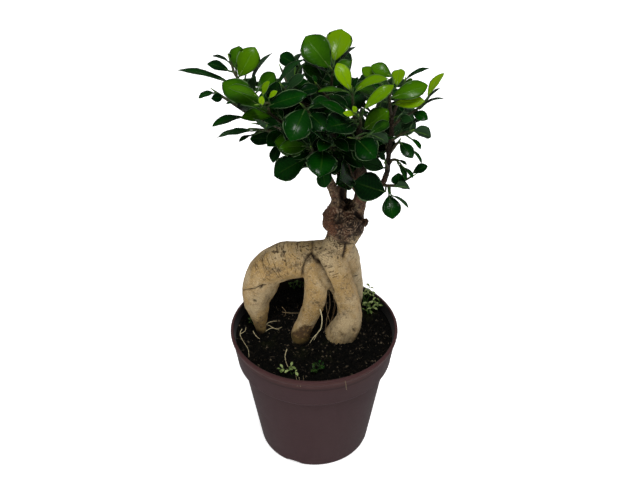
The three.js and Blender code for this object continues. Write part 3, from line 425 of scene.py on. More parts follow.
def joined(meshes: Sequence[Mesh]) -> Mesh:
    """Joins meshes, each with its own material kept.

    Args:
        meshes: The meshes.

    Returns:
        The whole.
    """
    whole = bmesh.new()
    materials: list[Material] = []
    for mesh in meshes:
        first = len(whole.faces)
        whole.from_mesh(mesh)
        whole.faces.ensure_lookup_table()
        slots = []
        for material in mesh.materials:
            if material not in materials:
                materials.append(material)
            slots.append(materials.index(material))
        for index in range(first, len(whole.faces)):
            face = whole.faces[index]
            face.material_index = slots[min(face.material_index, len(slots) - 1)] if slots else 0
    result = bpy.data.meshes.new("mesh")
    whole.to_mesh(result)
    whole.free()
    for material in materials:
        result.materials.append(material)
    return result


def evaluated(mesh: Mesh, add: Callable[[Object], None]) -> Mesh:
    """Runs modifiers on a mesh.

    Args:
        mesh: The mesh, which is used up.
        add: Adds the modifiers to the object that carries the mesh.

    Returns:
        The resulting plain mesh.
    """
    carrier = placed("carrier", mesh)
    add(carrier)
    graph = bpy.context.evaluated_depsgraph_get()
    made = bpy.data.meshes.new_from_object(carrier.evaluated_get(graph))
    bpy.data.objects.remove(carrier)
    return made


def show(name: str, mesh: Mesh, slot: str, *nodes: str) -> Object:
    """Puts a finished piece in the scene.

    Args:
        name: The piece's name.
        mesh: Its mesh, in the row's frame.
        slot: The name of a material slot of the record; it is not used.
        nodes: The CAD nodes that it stands for.

    Returns:
        The piece.
    """
    mesh.name = name
    mesh.shade_smooth()
    piece = placed(name, mesh)
    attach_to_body(piece, "root")
    if nodes:
        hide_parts(*nodes)
    log.info("%s: %d faces", name, len(mesh.polygons))
    return piece


def catmull_rom(stations: Array, count: int) -> Array:
    """Draws a smooth line through stations.

    Args:
        stations: The rows of numbers to pass through.
        count: How many steps to take from the first station to the last.

    Returns:
        The rows along the line, one more than the steps.
    """
    padded = np.vstack([2 * stations[0] - stations[1], stations, 2 * stations[-1] - stations[-2]])
    spots = np.linspace(0, len(stations) - 1, count + 1)
    first = np.minimum(spots.astype(int), len(stations) - 2)
    t = (spots - first)[:, None]
    before, start, end, after = (padded[first + shift] for shift in range(4))
    return 0.5 * (
        2 * start
        + (end - before) * t
        + (2 * before - 5 * start + 4 * end - after) * t**2
        + (3 * start - before - 3 * end + after) * t**3
    )


class Bark(Enum):
    """The kinds of bark on the woody body."""

    GRAFT = "graft"
    ROOT = "root"
    BRANCH = "branch"


@dataclass(frozen=True)
class Limb:
    """A root, trunk or branch: stations of where its middle is seen, its depth and radius in mm."""

    bark: Bark
    stations: tuple[tuple[float, float, float, float], ...]

    def line(self, steps: int) -> Array:
        """Draws the limb's middle line.

        Args:
            steps: How many steps to take along it.

        Returns:
            Rows of place and radius, in metres.
        """
        rows = [
            [*VIEW.at_depth(across, down, depth * MM), radius * MM]
            for across, down, depth, radius in self.stations
        ]
        return catmull_rom(np.array(rows), steps)


LIMBS: dict[str, Limb] = {
    "trunk": Limb(Bark.GRAFT, (
        (333, 258, 6, 9), (335, 250, 7, 10.8), (338.5, 241, 8, 9.8), (342.5, 233, 9, 11.8),
        (344, 224, 10, 14.6), (344, 213.5, 10, 14.2),
    )),
    "left_root": Limb(Bark.ROOT, (
        (330, 252, 9, 8.5), (316, 256, 7, 11), (300, 258.5, 5, 12.8), (285, 259.5, 4, 13.4),
        (266.5, 269, 3, 12.8), (259.5, 285, 3, 12.2), (256.5, 299, 2, 9.6), (258.5, 311, 1.5, 7),
        (260, 321, 1.5, 5), (261, 331, 1.5, 3.4), (262, 340, 1.5, 2.4),
    )),
    "middle_root": Limb(Bark.ROOT, (
        (319, 252, 4, 4.5), (312, 264, -1, 4.4), (312.5, 275, -3, 6), (315, 285, -5, 7.6),
        (316, 293, -6, 8.2), (314, 302, -6, 7.8), (310, 312, -6, 7.2), (306, 322, -7, 6.9),
        (301.5, 332, -8, 7.0), (300, 343, -9, 6.8), (299, 353, -9, 5.6),
    )),
    "right_root": Limb(Bark.ROOT, (
        (328, 250, 5, 10), (332, 262, 0, 10.6), (337, 275, -3, 9.8), (344, 290, -5, 8.8),
        (348.5, 302, -6, 8.3), (349.5, 312, -6, 8.5), (347, 323, -6, 9.8), (341.5, 333, -5, 10.6),
        (334, 344, -4, 10.6), (327, 354, -4, 9.0),
    )),
    "rear_root": Limb(Bark.ROOT, (
        (341, 246, 10, 9), (347, 256, 15, 8.6), (350.5, 267, 20, 8), (352.5, 279, 25, 7.4),
        (353, 291, 28, 7), (351, 303, 30, 7), (350, 315, 31, 5.8),
    )),
    "cut_stub": Limb(Bark.GRAFT, ((355, 223, 4, 4), (362, 222.5, 2, 3.2), (366.5, 222, 1, 2.5))),
    "left_branch": Limb(Bark.BRANCH, (
        (337.5, 213, 8, 8.0), (337.5, 201, 7, 4.4), (333, 189, 6, 3.6), (327.5, 178, 5, 3.3),
        (321, 165, 3, 3), (311, 150, 0, 2.6), (299, 137, -2, 2.1), (288, 125, -3, 1.6),
    )),
    "middle_branch": Limb(Bark.BRANCH, (
        (343, 211, 11, 4.6), (342.5, 200, 12, 3.1), (342, 186, 13, 3.4), (340.5, 170, 13, 3),
        (336, 150, 11, 2.5), (332, 128, 9, 2.2), (330, 108, 7, 1.9), (331, 92, 6, 1.5),
    )),
    "right_branch": Limb(Bark.BRANCH, (
        (353, 213, 9, 8), (359, 202, 8, 4.9), (361.5, 190, 8, 4.4), (362, 176, 6, 4),
        (361, 158, 2, 3.2), (360, 141, -4, 2.5), (359, 127, -10, 1.8),
    )),
    "crossing_branch": Limb(Bark.BRANCH, (
        (359, 191, 7, 2.8), (353, 184, 5, 2.6), (349.5, 175, 4, 2.3), (347, 164, 3, 2),
        (344, 154, 2, 1.6),
    )),
    "slender_branch": Limb(Bark.BRANCH, (
        (361, 197, 7, 2.8), (372, 193, 4, 2.4), (382, 184, 0, 2.1), (387, 172, -3, 1.9),
        (388, 160, -5, 1.8), (390, 145, -6, 1.6), (392, 128, -5, 1.4), (391, 112, -3, 1.2),
    )),
    "rear_branch": Limb(Bark.BRANCH, (
        (355, 211, 13, 4.6), (360, 199, 17, 3.8), (359, 183, 23, 3.2), (354, 163, 28, 2.8),
        (347, 137, 33, 2.3), (340, 112, 35, 1.7),
    )),
    "rear_left_branch": Limb(Bark.BRANCH, (
        (341, 172, 13, 2.6), (333, 160, 19, 2.4), (318, 142, 27, 2.1), (304, 125, 31, 1.8),
        (296, 112, 32, 1.5),
    )),
}


def run_along(path: Array) -> Array:
    """Returns the length of a path up to each of its points."""
    return np.concatenate([[0], np.cumsum(norm(np.diff(path, axis=0), axis=1))])


def frames_along(path: Array) -> tuple[Array, Array, Array]:
    """Finds how a path runs.

    Args:
        path: The path's points.

    Returns:
        At each point the direction, and two sides that don't twist.
    """
    ahead = np.vstack([path[1:], path[-1:]]) - np.vstack([path[:1], path[:-1]])
    axes = ahead / norm(ahead, axis=1)[:, None]
    side = np.cross([0.3, 1, 0.1], axes[0])
    sides = []
    for axis in axes:
        side = unit(side - axis * side.dot(axis))
        sides.append(side)
    return axes, np.array(sides), np.cross(axes, np.array(sides))


def closed_skin(rings: Sequence[Array], start: Point, end: Point) -> Mesh:
    """Makes a closed skin over rings of points.

    Args:
        rings: The points of each ring, as many in all of them.
        start: The point that closes the first ring.
        end: The point that closes the last one.

    Returns:
        The skin, whose faces point outwards where the rings turn to the right as seen from the start.
    """
    sides = len(rings[0])
    last = (len(rings) - 1) * sides
    faces = []
    for corner in range(sides):
        after = (corner + 1) % sides
        for row in range(0, last, sides):
            faces.append((row + corner, row + after, row + sides + after, row + sides + corner))
        faces.append((last + sides, after, corner))
        faces.append((last + sides + 1, last + corner, last + after))
    return mesh_of(np.vstack([*rings, start, end]), faces)


def tube(path: Array, radii: Array, sides: int, unevenness: float, pitch: float) -> Mesh:
    """Makes a closed tube.

    Args:
        path: The points of its middle line.
        radii: Its radius at each.
        sides: How many faces it has round.
        unevenness: How much its section strays from a circle, as a share of the radius.
        pitch: The path's length over which the unevenness turns by one step.

    Returns:
        The tube's mesh.
    """
    _, first, second = frames_along(path)
    run = run_along(path) / pitch
    angle = np.arange(sides) * 2 * math.pi / sides
    lobes = np.sin(3 * angle + 0.7 * run[:, None]) + 0.6 * np.sin(2 * angle - 0.45 * run[:, None])
    reach = radii[:, None] * (1 + unevenness * lobes)
    across = (reach * np.cos(angle))[..., None] * first[:, None]
    along = (reach * np.sin(angle))[..., None] * second[:, None]
    return closed_skin(path[:, None] + across + along, path[0], path[-1])


@dataclass(frozen=True)
class ScarAndCreaseShade:
    """A crack, crease or knot in the bark, seen along a line of the picture; in the creases its dark is
    painted shade.
    """

    line: Places
    width: float
    depth: float
    dark: float = 1.0

    def weight(self, seen: Array) -> Array:
        """Finds where the scar is.

        Args:
            seen: Picture points, one a row.

        Returns:
            How strongly it marks each, from 0 to 1.
        """
        nearest = np.full(len(seen), np.inf)
        for start, end in zip(self.line, self.line[1:] or self.line):
            first, way = np.array(start), np.array(end) - np.array(start)
            share = np.clip(((seen - first) @ way) / max(way @ way, 1e-9), 0, 1)
            nearest = np.minimum(nearest, norm(seen - first - share[:, None] * way, axis=1))
        return np.exp(-((nearest / self.width) ** 2))


KNOTS: Places = (
    (351, 224, -4), (334, 229, -3), (346, 214, -5), (361, 208, 2), (330, 212, 4), (356, 216, 24),
    (338, 224, 25), (344, 205, 22),
)


def swirl(graph: Graph, place: Link) -> Link:
    """Returns the ridges that run round the graft's knots, from 0 to 1.

    Args:
        graph: The material's or the relief's tree.
        place: The place on the surface.

    Returns:
        The height of the ridges.
    """
    near: Optional[Link] = None
    for across, down, depth in KNOTS:
        knot = tuple(VIEW.at_depth(across, down, depth * MM))
        gap = graph.vector("DISTANCE", place, knot, output="Value")
        near = gap if near is None else graph.math("SMOOTH_MIN", near, gap, 1.2 * MM)
    bent = near + (graph.noise(place, 210, 3, 0.6) - 0.5) * (5.5 * MM)
    rings = graph.math("SINE", bent * (2 * math.pi / (1.9 * MM))) * 0.5 + 0.5
    broken = graph.step(graph.noise(place, 260, 3, 0.6), 0.4, 0.56)
    return rings * broken * 0.58 + graph.noise(place, 420, 3, 0.7) * 0.6


@dataclass(frozen=True)
class WoodFinish:
    """The bark's colours: pale on the roots, dark on the graft, grey-brown on the branches, with painted
    shade and light.
    """

    root: Colour = srgb(176, 154, 116)
    root_warm: Colour = srgb(160, 130, 80)
    root_grey: Colour = srgb(128, 110, 84)
    graft: Colour = srgb(84, 66, 50)
    graft_dark: Colour = srgb(30, 22, 17)
    graft_pale: Colour = srgb(150, 128, 104)
    graft_red: Colour = srgb(104, 66, 44)
    branch: Colour = srgb(56, 40, 30)
    branch_pale: Colour = srgb(146, 120, 92)
    # Pale cream for flecks, and painted light on the shaded rear root.
    light: Colour = srgb(208, 190, 154)
    mark: Colour = srgb(64, 44, 27)
    # Dark of cracks and knots, and painted shade in the creases between limbs.
    scar_and_crease_shade: Colour = srgb(38, 26, 18)
    rot: Colour = srgb(60, 40, 24)
    damp: Colour = srgb(96, 82, 42)
    moss: Colour = srgb(28, 27, 12)
    # Near-black painted shade for branches high in the crown and at the back.
    hidden: Colour = srgb(20, 18, 12)

    def material(self) -> Material:
        """Builds the bark's material.

        Returns:
            The material, which reads the attributes limb, seam, graft, branch, scar_and_crease_shade, rot and
            foot.
        """
        paint = Paint("bark")
        limb, seam = paint.named("limb", "Vector"), paint.named("seam")
        graft, branch = paint.named("graft"), paint.named("branch")
        coarse = paint.noise(paint.place, 38, 4, 0.6)
        fine = paint.noise(paint.place, 420, 3, 0.6)
        grain = paint.noise(paint.place, 1500, 2, 0.6)
        cracks = self.cracks(paint)
        root = paint.blend(paint.step(coarse, 0.42, 0.62), self.root, self.root_warm)
        patches = paint.noise(paint.place, 95, 5, 0.65)
        root = paint.blend(paint.step(patches, 0.52, 0.72) * 0.6, root, self.root_grey)
        root = paint.blend(paint.step(grain + (fine - 0.5) * 0.5, 0.48, 0.75) * 0.6, root, self.light)
        # Painted light: the rear root, in the shade of the trunk and crown, is lightened towards the light
        # colour.
        rear_painted_light = paint.step(paint.part(paint.place, "Y"), 8 * MM, 17 * MM)
        root = paint.blend(rear_painted_light * paint.step(coarse, 0.7, 0.3, (0.5, 0.8)), root, self.light)
        speckle = paint.step(fine + (coarse - 0.5) * 0.3, 0.50, 0.72) * 0.45
        root = paint.blend(speckle, root, self.mark)
        high = paint.step(paint.part(paint.place, "Z"), 135 * MM, 165 * MM, (0.25, 1.0))
        dashes = self.dashes(paint, limb) * seam * paint.step(coarse, 0.3, 0.42) * high
        root = paint.blend(dashes * 0.8, root, self.mark)
        root = paint.blend(cracks * paint.step(patches, 0.42, 0.6) * 0.28, root, self.mark)
        whorl = swirl(paint, paint.place)
        clouds = paint.noise(paint.place, 130, 3, 0.6)
        ridge = whorl + (fine - 0.5) * 0.5
        dark = paint.blend(paint.step(ridge, 0.22, 0.5), self.graft_dark, self.graft)
        flank = paint.step(paint.part(paint.place, "X"), 17 * MM, 9 * MM)
        dark = paint.blend(paint.step(clouds + flank * 0.35, 0.5, 0.75) * 0.8, dark, self.graft_red)
        dark = paint.blend(paint.step(ridge, 0.52, 0.85) * (0.8 - flank * 0.5), dark, self.graft_pale)
        dark = paint.blend(cracks * 0.8, dark, self.graft_dark)
        twig = paint.blend(paint.step(fine + (patches - 0.5), 0.38, 0.62), self.branch, self.branch_pale)
        twig = paint.blend(paint.step(clouds, 0.46, 0.6) * 0.6, twig, self.graft_red)
        twig = paint.blend(paint.step(grain + (fine - 0.5), 0.48, 0.6) * 0.8, twig, self.graft_dark)
        # Painted shade: branches high in the crown and at the back are darkened nearly black.
        above = paint.step(paint.part(paint.place, "Z"), 214 * MM, 240 * MM) * 0.85
        behind = paint.step(paint.part(paint.place, "Y"), 9 * MM, 13 * MM) * 0.7
        twig = paint.blend(paint.math("MAXIMUM", above, behind), twig, self.hidden)
        neck = paint.step(paint.part(paint.place, "Z"), 158 * MM, 169 * MM)
        root = paint.blend(neck * paint.step(ridge, 0.36, 0.2) * 0.85, root, self.graft_dark)
        ragged = graft + (patches - 0.5) * 1.2
        collar = paint.step(ragged, 0.02, 0.3) * paint.step(fine + cracks * 0.2, 0.5, 0.62)
        root = paint.blend(collar * 0.8, root, self.graft_dark)
        colour = paint.blend(paint.step(ragged, 0.3, 0.75), root, dark)
        colour = paint.blend(branch, colour, twig)
        rot = paint.step(paint.named("rot") + (patches - 0.5) * 1.6, 0.35, 0.6)
        rot_tone = paint.blend(paint.step(fine, 0.5, 0.66) * 0.6, self.rot, self.root_warm)
        colour = paint.blend(rot * 0.9, colour, rot_tone)
        foot = paint.named("foot") + (patches - 0.5) * 0.9
        dry = paint.step(paint.part(paint.place, "X"), 2 * MM, 12 * MM, (1.0, 0.3))
        colour = paint.blend(paint.step(foot, 0.1, 0.7) * dry * 0.6, colour, self.damp)
        colour = paint.blend(paint.step(foot, 0.6, 1.0) * dry, colour, self.moss)
        # Cracks and knots darken the bark; along the creases and the middle branch this dark is painted
        # shade.
        broken = paint.named("scar_and_crease_shade") * (0.45 + patches) + (fine - 0.5) * 0.25
        colour = paint.blend(paint.step(broken, 0.15, 1.0), colour, self.scar_and_crease_shade)
        height = fine * 0.5 + grain * 0.25 - dashes * 0.6 - cracks * 0.3 + whorl * graft * 0.8
        roughness = paint.step(fine, 0.35, 0.65, (0.55, 0.78))
        return paint.finish(colour, roughness, height, 0.0007, {"Specular IOR Level": 0.25})

    def dashes(self, paint: Graph, limb: Link) -> Link:
        """Draws the short dark dashes that lie across a root.

        Args:
            paint: The material's tree.
            limb: The place along the limb and to its two sides.

        Returns:
            The mask of the dashes.
        """
        stretched = paint.vector("MULTIPLY", limb, (340, 175, 175))
        cells = paint.node("ShaderNodeTexVoronoi", {"feature": "F1"}, {"Vector": stretched, "Scale": 1.0})
        picked = paint.step(paint.part(paint.other(cells, "Color"), "X"), 0.4, 0.44)
        offset = paint.vector("SUBTRACT", stretched, paint.other(cells, "Position"))
        across = paint.vector("MULTIPLY", offset, (0, 1, 1))
        reach = paint.vector("LENGTH", across, output="Value")
        thin = paint.step(paint.math("ABSOLUTE", paint.part(offset, "X")), 0.11, 0.04)
        return thin * paint.step(reach, 0.5, 0.34) * picked

    def cracks(self, paint: Graph) -> Link:
        """Draws a net of fine cracks.

        Args:
            paint: The material's tree.

        Returns:
            The mask of the cracks.
        """
        sockets = {"Vector": paint.place, "Scale": 300.0, "Detail": 2.0}
        warp = paint.node("ShaderNodeTexNoise", None, sockets, "Color")
        bent = paint.vector("ADD", paint.place, paint.scaled(warp, 2.4 * MM))
        sockets = {"Vector": bent, "Scale": 460.0}
        cells = paint.node("ShaderNodeTexVoronoi", {"feature": "DISTANCE_TO_EDGE"}, sockets)
        return paint.step(cells, 0.07, 0.01)


@dataclass
class WoodyBody:
    """The roots, the trunk and the branches, which grew as one."""

    finish: WoodFinish = WoodFinish()
    sides: int = 24
    ring_spacing: float = 2.0 * MM
    unevenness: float = 0.05
    unevenness_pitch: float = 8.5 * MM
    voxel: float = 0.85 * MM
    smoothing: int = 4
    skin_steps: int = 60
    limb_shift: float = 0.13
    seam_width: float = 3 * MM
    front_depth: float = 12 * MM
    soil_level: float = 96 * MM
    foot_height: float = 9 * MM
    graft_fade: Pair = (169 * MM, 187 * MM)
    # Cracks, knots and creases; the dark along the creases and the middle branch is painted shade.
    scars_and_crease_shade: tuple[ScarAndCreaseShade, ...] = (
        # Painted shade along the fold under the left root's hump.
        ScarAndCreaseShade(((303, 263), (292, 268), (280, 271), (270, 275)), 3.0, 1.2, 0.35),
        ScarAndCreaseShade(((243, 290), (249, 289), (255, 288.5), (260, 286), (266, 285)), 0.7, 0.8),
        ScarAndCreaseShade(((263, 285.5), (261, 288)), 1.5, 0.9, 0.9),
        ScarAndCreaseShade(((254, 301), (255.5, 301.5)), 1.8, 1.2, 0.9),
        ScarAndCreaseShade(((262, 258), (262.5, 263), (264, 269)), 1.0, 0.5, 0.7),
        ScarAndCreaseShade(((303, 310), (303.5, 310.5)), 1.1, 0.8, 0.9),
        ScarAndCreaseShade(((340, 243), (349, 244)), 2.4, 1.0, 0.8),
        ScarAndCreaseShade(((345.5, 245), (345, 250), (344, 256)), 2.0, 1.8, 1.0),
        # Painted shade that turns the middle branch nearly black.
        ScarAndCreaseShade(((342.5, 203), (343, 190), (342, 176), (340, 162)), 3.6, 1.0, 1.0),
        ScarAndCreaseShade(((353, 205), (347, 206)), 2.2, 1.6, 0.8),
        ScarAndCreaseShade(((353.5, 330), (355, 331.5)), 1.7, 1.2, 0.8),
        ScarAndCreaseShade(((346, 318), (346.5, 318.5)), 0.8, 0.6, 0.8),
        # Painted shade in the creases around the middle root's top and between the left and right roots.
        ScarAndCreaseShade(((303, 276), (303.5, 268), (307, 259), (312.5, 252)), 1.4, 2.6, 0.8),
        ScarAndCreaseShade(((312.5, 252), (315, 258), (320, 267), (325, 277), (329.5, 286), (331.5, 292)), 1.7, 4.0, 1.0),
        ScarAndCreaseShade(((313, 240), (313, 246), (312.5, 252)), 1.7, 1.6, 0.7),
        ScarAndCreaseShade(((356, 213), (361, 217), (366, 221)), 2.2, 2.4, 1.0),
        ScarAndCreaseShade(((364, 222), (360, 229), (355, 236)), 2.4, 2.6, 1.0),
        ScarAndCreaseShade(((351, 224), (351.3, 224.3)), 1.4, 0.8, 0.5),
        ScarAndCreaseShade(((253, 333), (269, 336)), 5.0, 0.2, 1.0),
        ScarAndCreaseShade(((296, 348), (312, 345)), 4.5, 0.2, 0.8),
        ScarAndCreaseShade(((318, 341), (330, 349)), 4.5, 0.2, 0.8),
    )
    rot_spot: Triple = (305, 338, 17)

    def build(self) -> None:
        """Builds the woody body and shows it in place of its node."""
        mesh = self.lofted()
        self.mark(mesh)
        mesh = self.relief().run(mesh, self.finish.material())
        show("roots_and_branches", mesh, "bark", "trunk_roots")

    def lofted(self) -> Mesh:
        """Fuses the limbs.

        Returns:
            Their smooth skin.
        """
        tubes = []
        for limb in LIMBS.values():
            length = run_along(limb.line(40)[:, :3])[-1]
            rows = limb.line(max(6, round(length / self.ring_spacing)))
            path, radii = rows[:, :3], rows[:, 3]
            tip = path[-1] + unit(path[-1] - path[-2]) * 0.5 * radii[-1]
            path, radii = np.vstack([path, tip]), np.append(radii, 0.6 * radii[-1])
            tubes.append(tube(path, radii, self.sides, self.unevenness, self.unevenness_pitch))

        def skin(carrier: Object) -> None:
            """Adds the modifiers that fuse the tubes and smooth the creases between them.

            Args:
                carrier: The object that carries the tubes.
            """
            remesh = carrier.modifiers.new("fuse", "REMESH")
            remesh.mode = "VOXEL"
            remesh.voxel_size = self.voxel
            smooth = carrier.modifiers.new("smooth", "SMOOTH")
            smooth.factor = 0.5
            smooth.iterations = self.smoothing

        return evaluated(joined(tubes), skin)

    def mark(self, mesh: Mesh) -> None:
        """Stores on the skin what its bark depends on.

        Args:
            mesh: The skin, which gets the attributes limb, seam, graft, branch, scar_and_crease_shade, rot
                and foot.
        """
        places = rows_of(mesh.vertices, "co")
        best = np.full(len(places), np.inf)
        second = np.full(len(places), np.inf)
        local = np.zeros((len(places), 3))
        kind = np.zeros((len(places), 2))
        for number, limb in enumerate(LIMBS.values()):
            rows = limb.line(self.skin_steps)
            path, radii = rows[:, :3], rows[:, 3]
            axes, *sides = frames_along(path)
            gaps = norm(places[:, None] - path[None], axis=2) - radii
            nearest = gaps.argmin(axis=1)
            gap = gaps[np.arange(len(places)), nearest]
            offset = places - path[nearest]
            mine = gap < best
            second = np.where(mine, best, np.minimum(second, gap))
            best = np.where(mine, gap, best)
            here = np.stack([(offset * side[nearest]).sum(axis=1) for side in (axes, *sides)], axis=1)
            here[:, 0] += run_along(path)[nearest] + self.limb_shift * number
            local[mine] = here[mine]
            kind[mine] = (limb.bark is Bark.GRAFT, limb.bark is Bark.BRANCH)
        put(mesh, "limb", local)
        put(mesh, "seam", np.clip((second - best) / self.seam_width, 0, 1))
        graft = kind[:, 0] * np.clip((places[:, 2] - self.graft_fade[0]) / np.ptp(self.graft_fade), 0, 1)
        put(mesh, "graft", self.softened(mesh, graft))
        put(mesh, "branch", self.softened(mesh, kind[:, 1]))
        seen = VIEW.picture_of(places)
        normals = rows_of(mesh.vertex_normals, "vector")
        faces_viewer = (normals * (np.array(VIEW.position) - places)).sum(axis=1) > 0
        in_front = faces_viewer & (places[:, 1] < self.front_depth)
        # The marks, partly painted shade in creases, are kept to surfaces in front.
        marks = [each.weight(seen) * in_front for each in self.scars_and_crease_shade]
        put(mesh, "scar_and_crease_shade", np.max([m * s.dark for m, s in zip(marks, self.scars_and_crease_shade)], axis=0))
        put(mesh, "groove", np.max([m * s.depth for m, s in zip(marks, self.scars_and_crease_shade)], axis=0))
        across, down, reach = self.rot_spot
        rot = norm(seen - (across, down), axis=1) / reach
        put(mesh, "rot", np.clip(1.6 - 1.6 * rot, 0, 1) * in_front)
        put(mesh, "foot", np.clip(1 - (places[:, 2] - self.soil_level) / self.foot_height, 0, 1))

    def softened(self, mesh: Mesh, values: Array, rounds: int = 14) -> Array:
        """Softens the steps of values on a mesh.

        Args:
            mesh: The mesh.
            values: A value for each of its points.
            rounds: How often each value goes half way to the mean of its neighbours.

        Returns:
            The softened values.
        """
        edges = np.zeros(len(mesh.edges) * 2, np.int32)
        mesh.edges.foreach_get("vertices", edges)
        left, right = edges.reshape(-1, 2).T
        size = len(values)
        count = np.bincount(left, minlength=size) + np.bincount(right, minlength=size)
        for _ in range(rounds):
            total = np.bincount(left, values[right], size) + np.bincount(right, values[left], size)
            values = 0.5 * values + 0.5 * total / np.maximum(count, 1)
        return values

    def relief(self) -> Shape:
        """Builds the bark's relief.

        Returns:
            The tree that raises its lumps, wrinkles and ridges and sinks its cracks and creases.
        """
        sizes = {
            "Lumps": 1.1 * MM, "Folds": 2.2 * MM, "Wrinkles": 0.6 * MM, "Ridges": 1.3 * MM,
            "Knobs": 3.6 * MM, "Scars": 1.0 * MM,
        }
        shape = Shape("bark_relief", sizes)
        place = shape.node("GeometryNodeInputPosition")
        limb = shape.named("limb", "FLOAT_VECTOR")
        seam, graft, branch = (shape.named(name) for name in ("seam", "graft", "branch"))
        lumps = (shape.noise(place, 75, 3) - 0.5) * shape.given("Lumps") * (1 - branch * 0.6) * 2
        stretched = shape.vector("MULTIPLY", limb, (420, 60, 60))
        wrinkles = (shape.noise(stretched, 1.0, 2) - 0.5) * shape.given("Wrinkles") * seam * (1 - graft)
        knobs = (shape.noise(place, 160, 3, 0.6) - 0.5) * shape.given("Knobs")
        rings = (swirl(shape, place) - 0.5) * shape.given("Ridges")
        ridges = (knobs + rings) * graft * (seam * 0.6 + 0.4)
        rough = (shape.noise(place, 420, 3, 0.6) - 0.5) * shape.given("Knobs") * branch * 0.35
        flowing = shape.vector("MULTIPLY", limb, (28, 95, 95))
        folds = (shape.noise(flowing, 1.0, 2) - 0.5) * shape.given("Folds") * seam * (1 - branch)
        lift = lumps + folds + wrinkles + ridges + rough - shape.named("groove") * shape.given("Scars")
        normal = shape.node("GeometryNodeInputNormal")
        shape.end(shape.moved(shape.given("Geometry"), shape.scaled(normal, lift)))
        return shape


@dataclass(frozen=True)
class Blade:
    """A leaf blade's place: its base, its axes along, across and up, and its sizes."""

    base: Array
    along: Array
    across: Array
    up: Array
    length: float
    width: float
    arch: float
    stalk_from: Array
    youth_and_light: float

    def height(self, share: float) -> float:
        """Returns how high the rib arches at a share of the length."""
        return 4 * self.arch * self.length * share * (1 - share)

    def rib(self, share: float) -> Array:
        """Returns the rib's middle at a share of the length."""
        return self.base + self.along * share * self.length + self.up * self.height(share)

    def outline(self) -> list[Vector]:
        """Draws the blade's edge.

        Returns:
            Points round it.
        """
        left, right = [], []
        for share in np.linspace(0.04, 0.97, 7):
            half = self.across * 0.5 * self.width * math.sin(math.pi * share**1.2) ** 0.6
            left.append(Vector(self.rib(share) - half))
            right.append(Vector(self.rib(share) + half))
        return [*left, *reversed(right)]


def blade_shape(share: float) -> float:
    """Returns how wide a blade is at a share of its length, against its widest."""
    return math.sin(math.pi * min(max(share, 0), 1) ** 1.12) ** 0.5


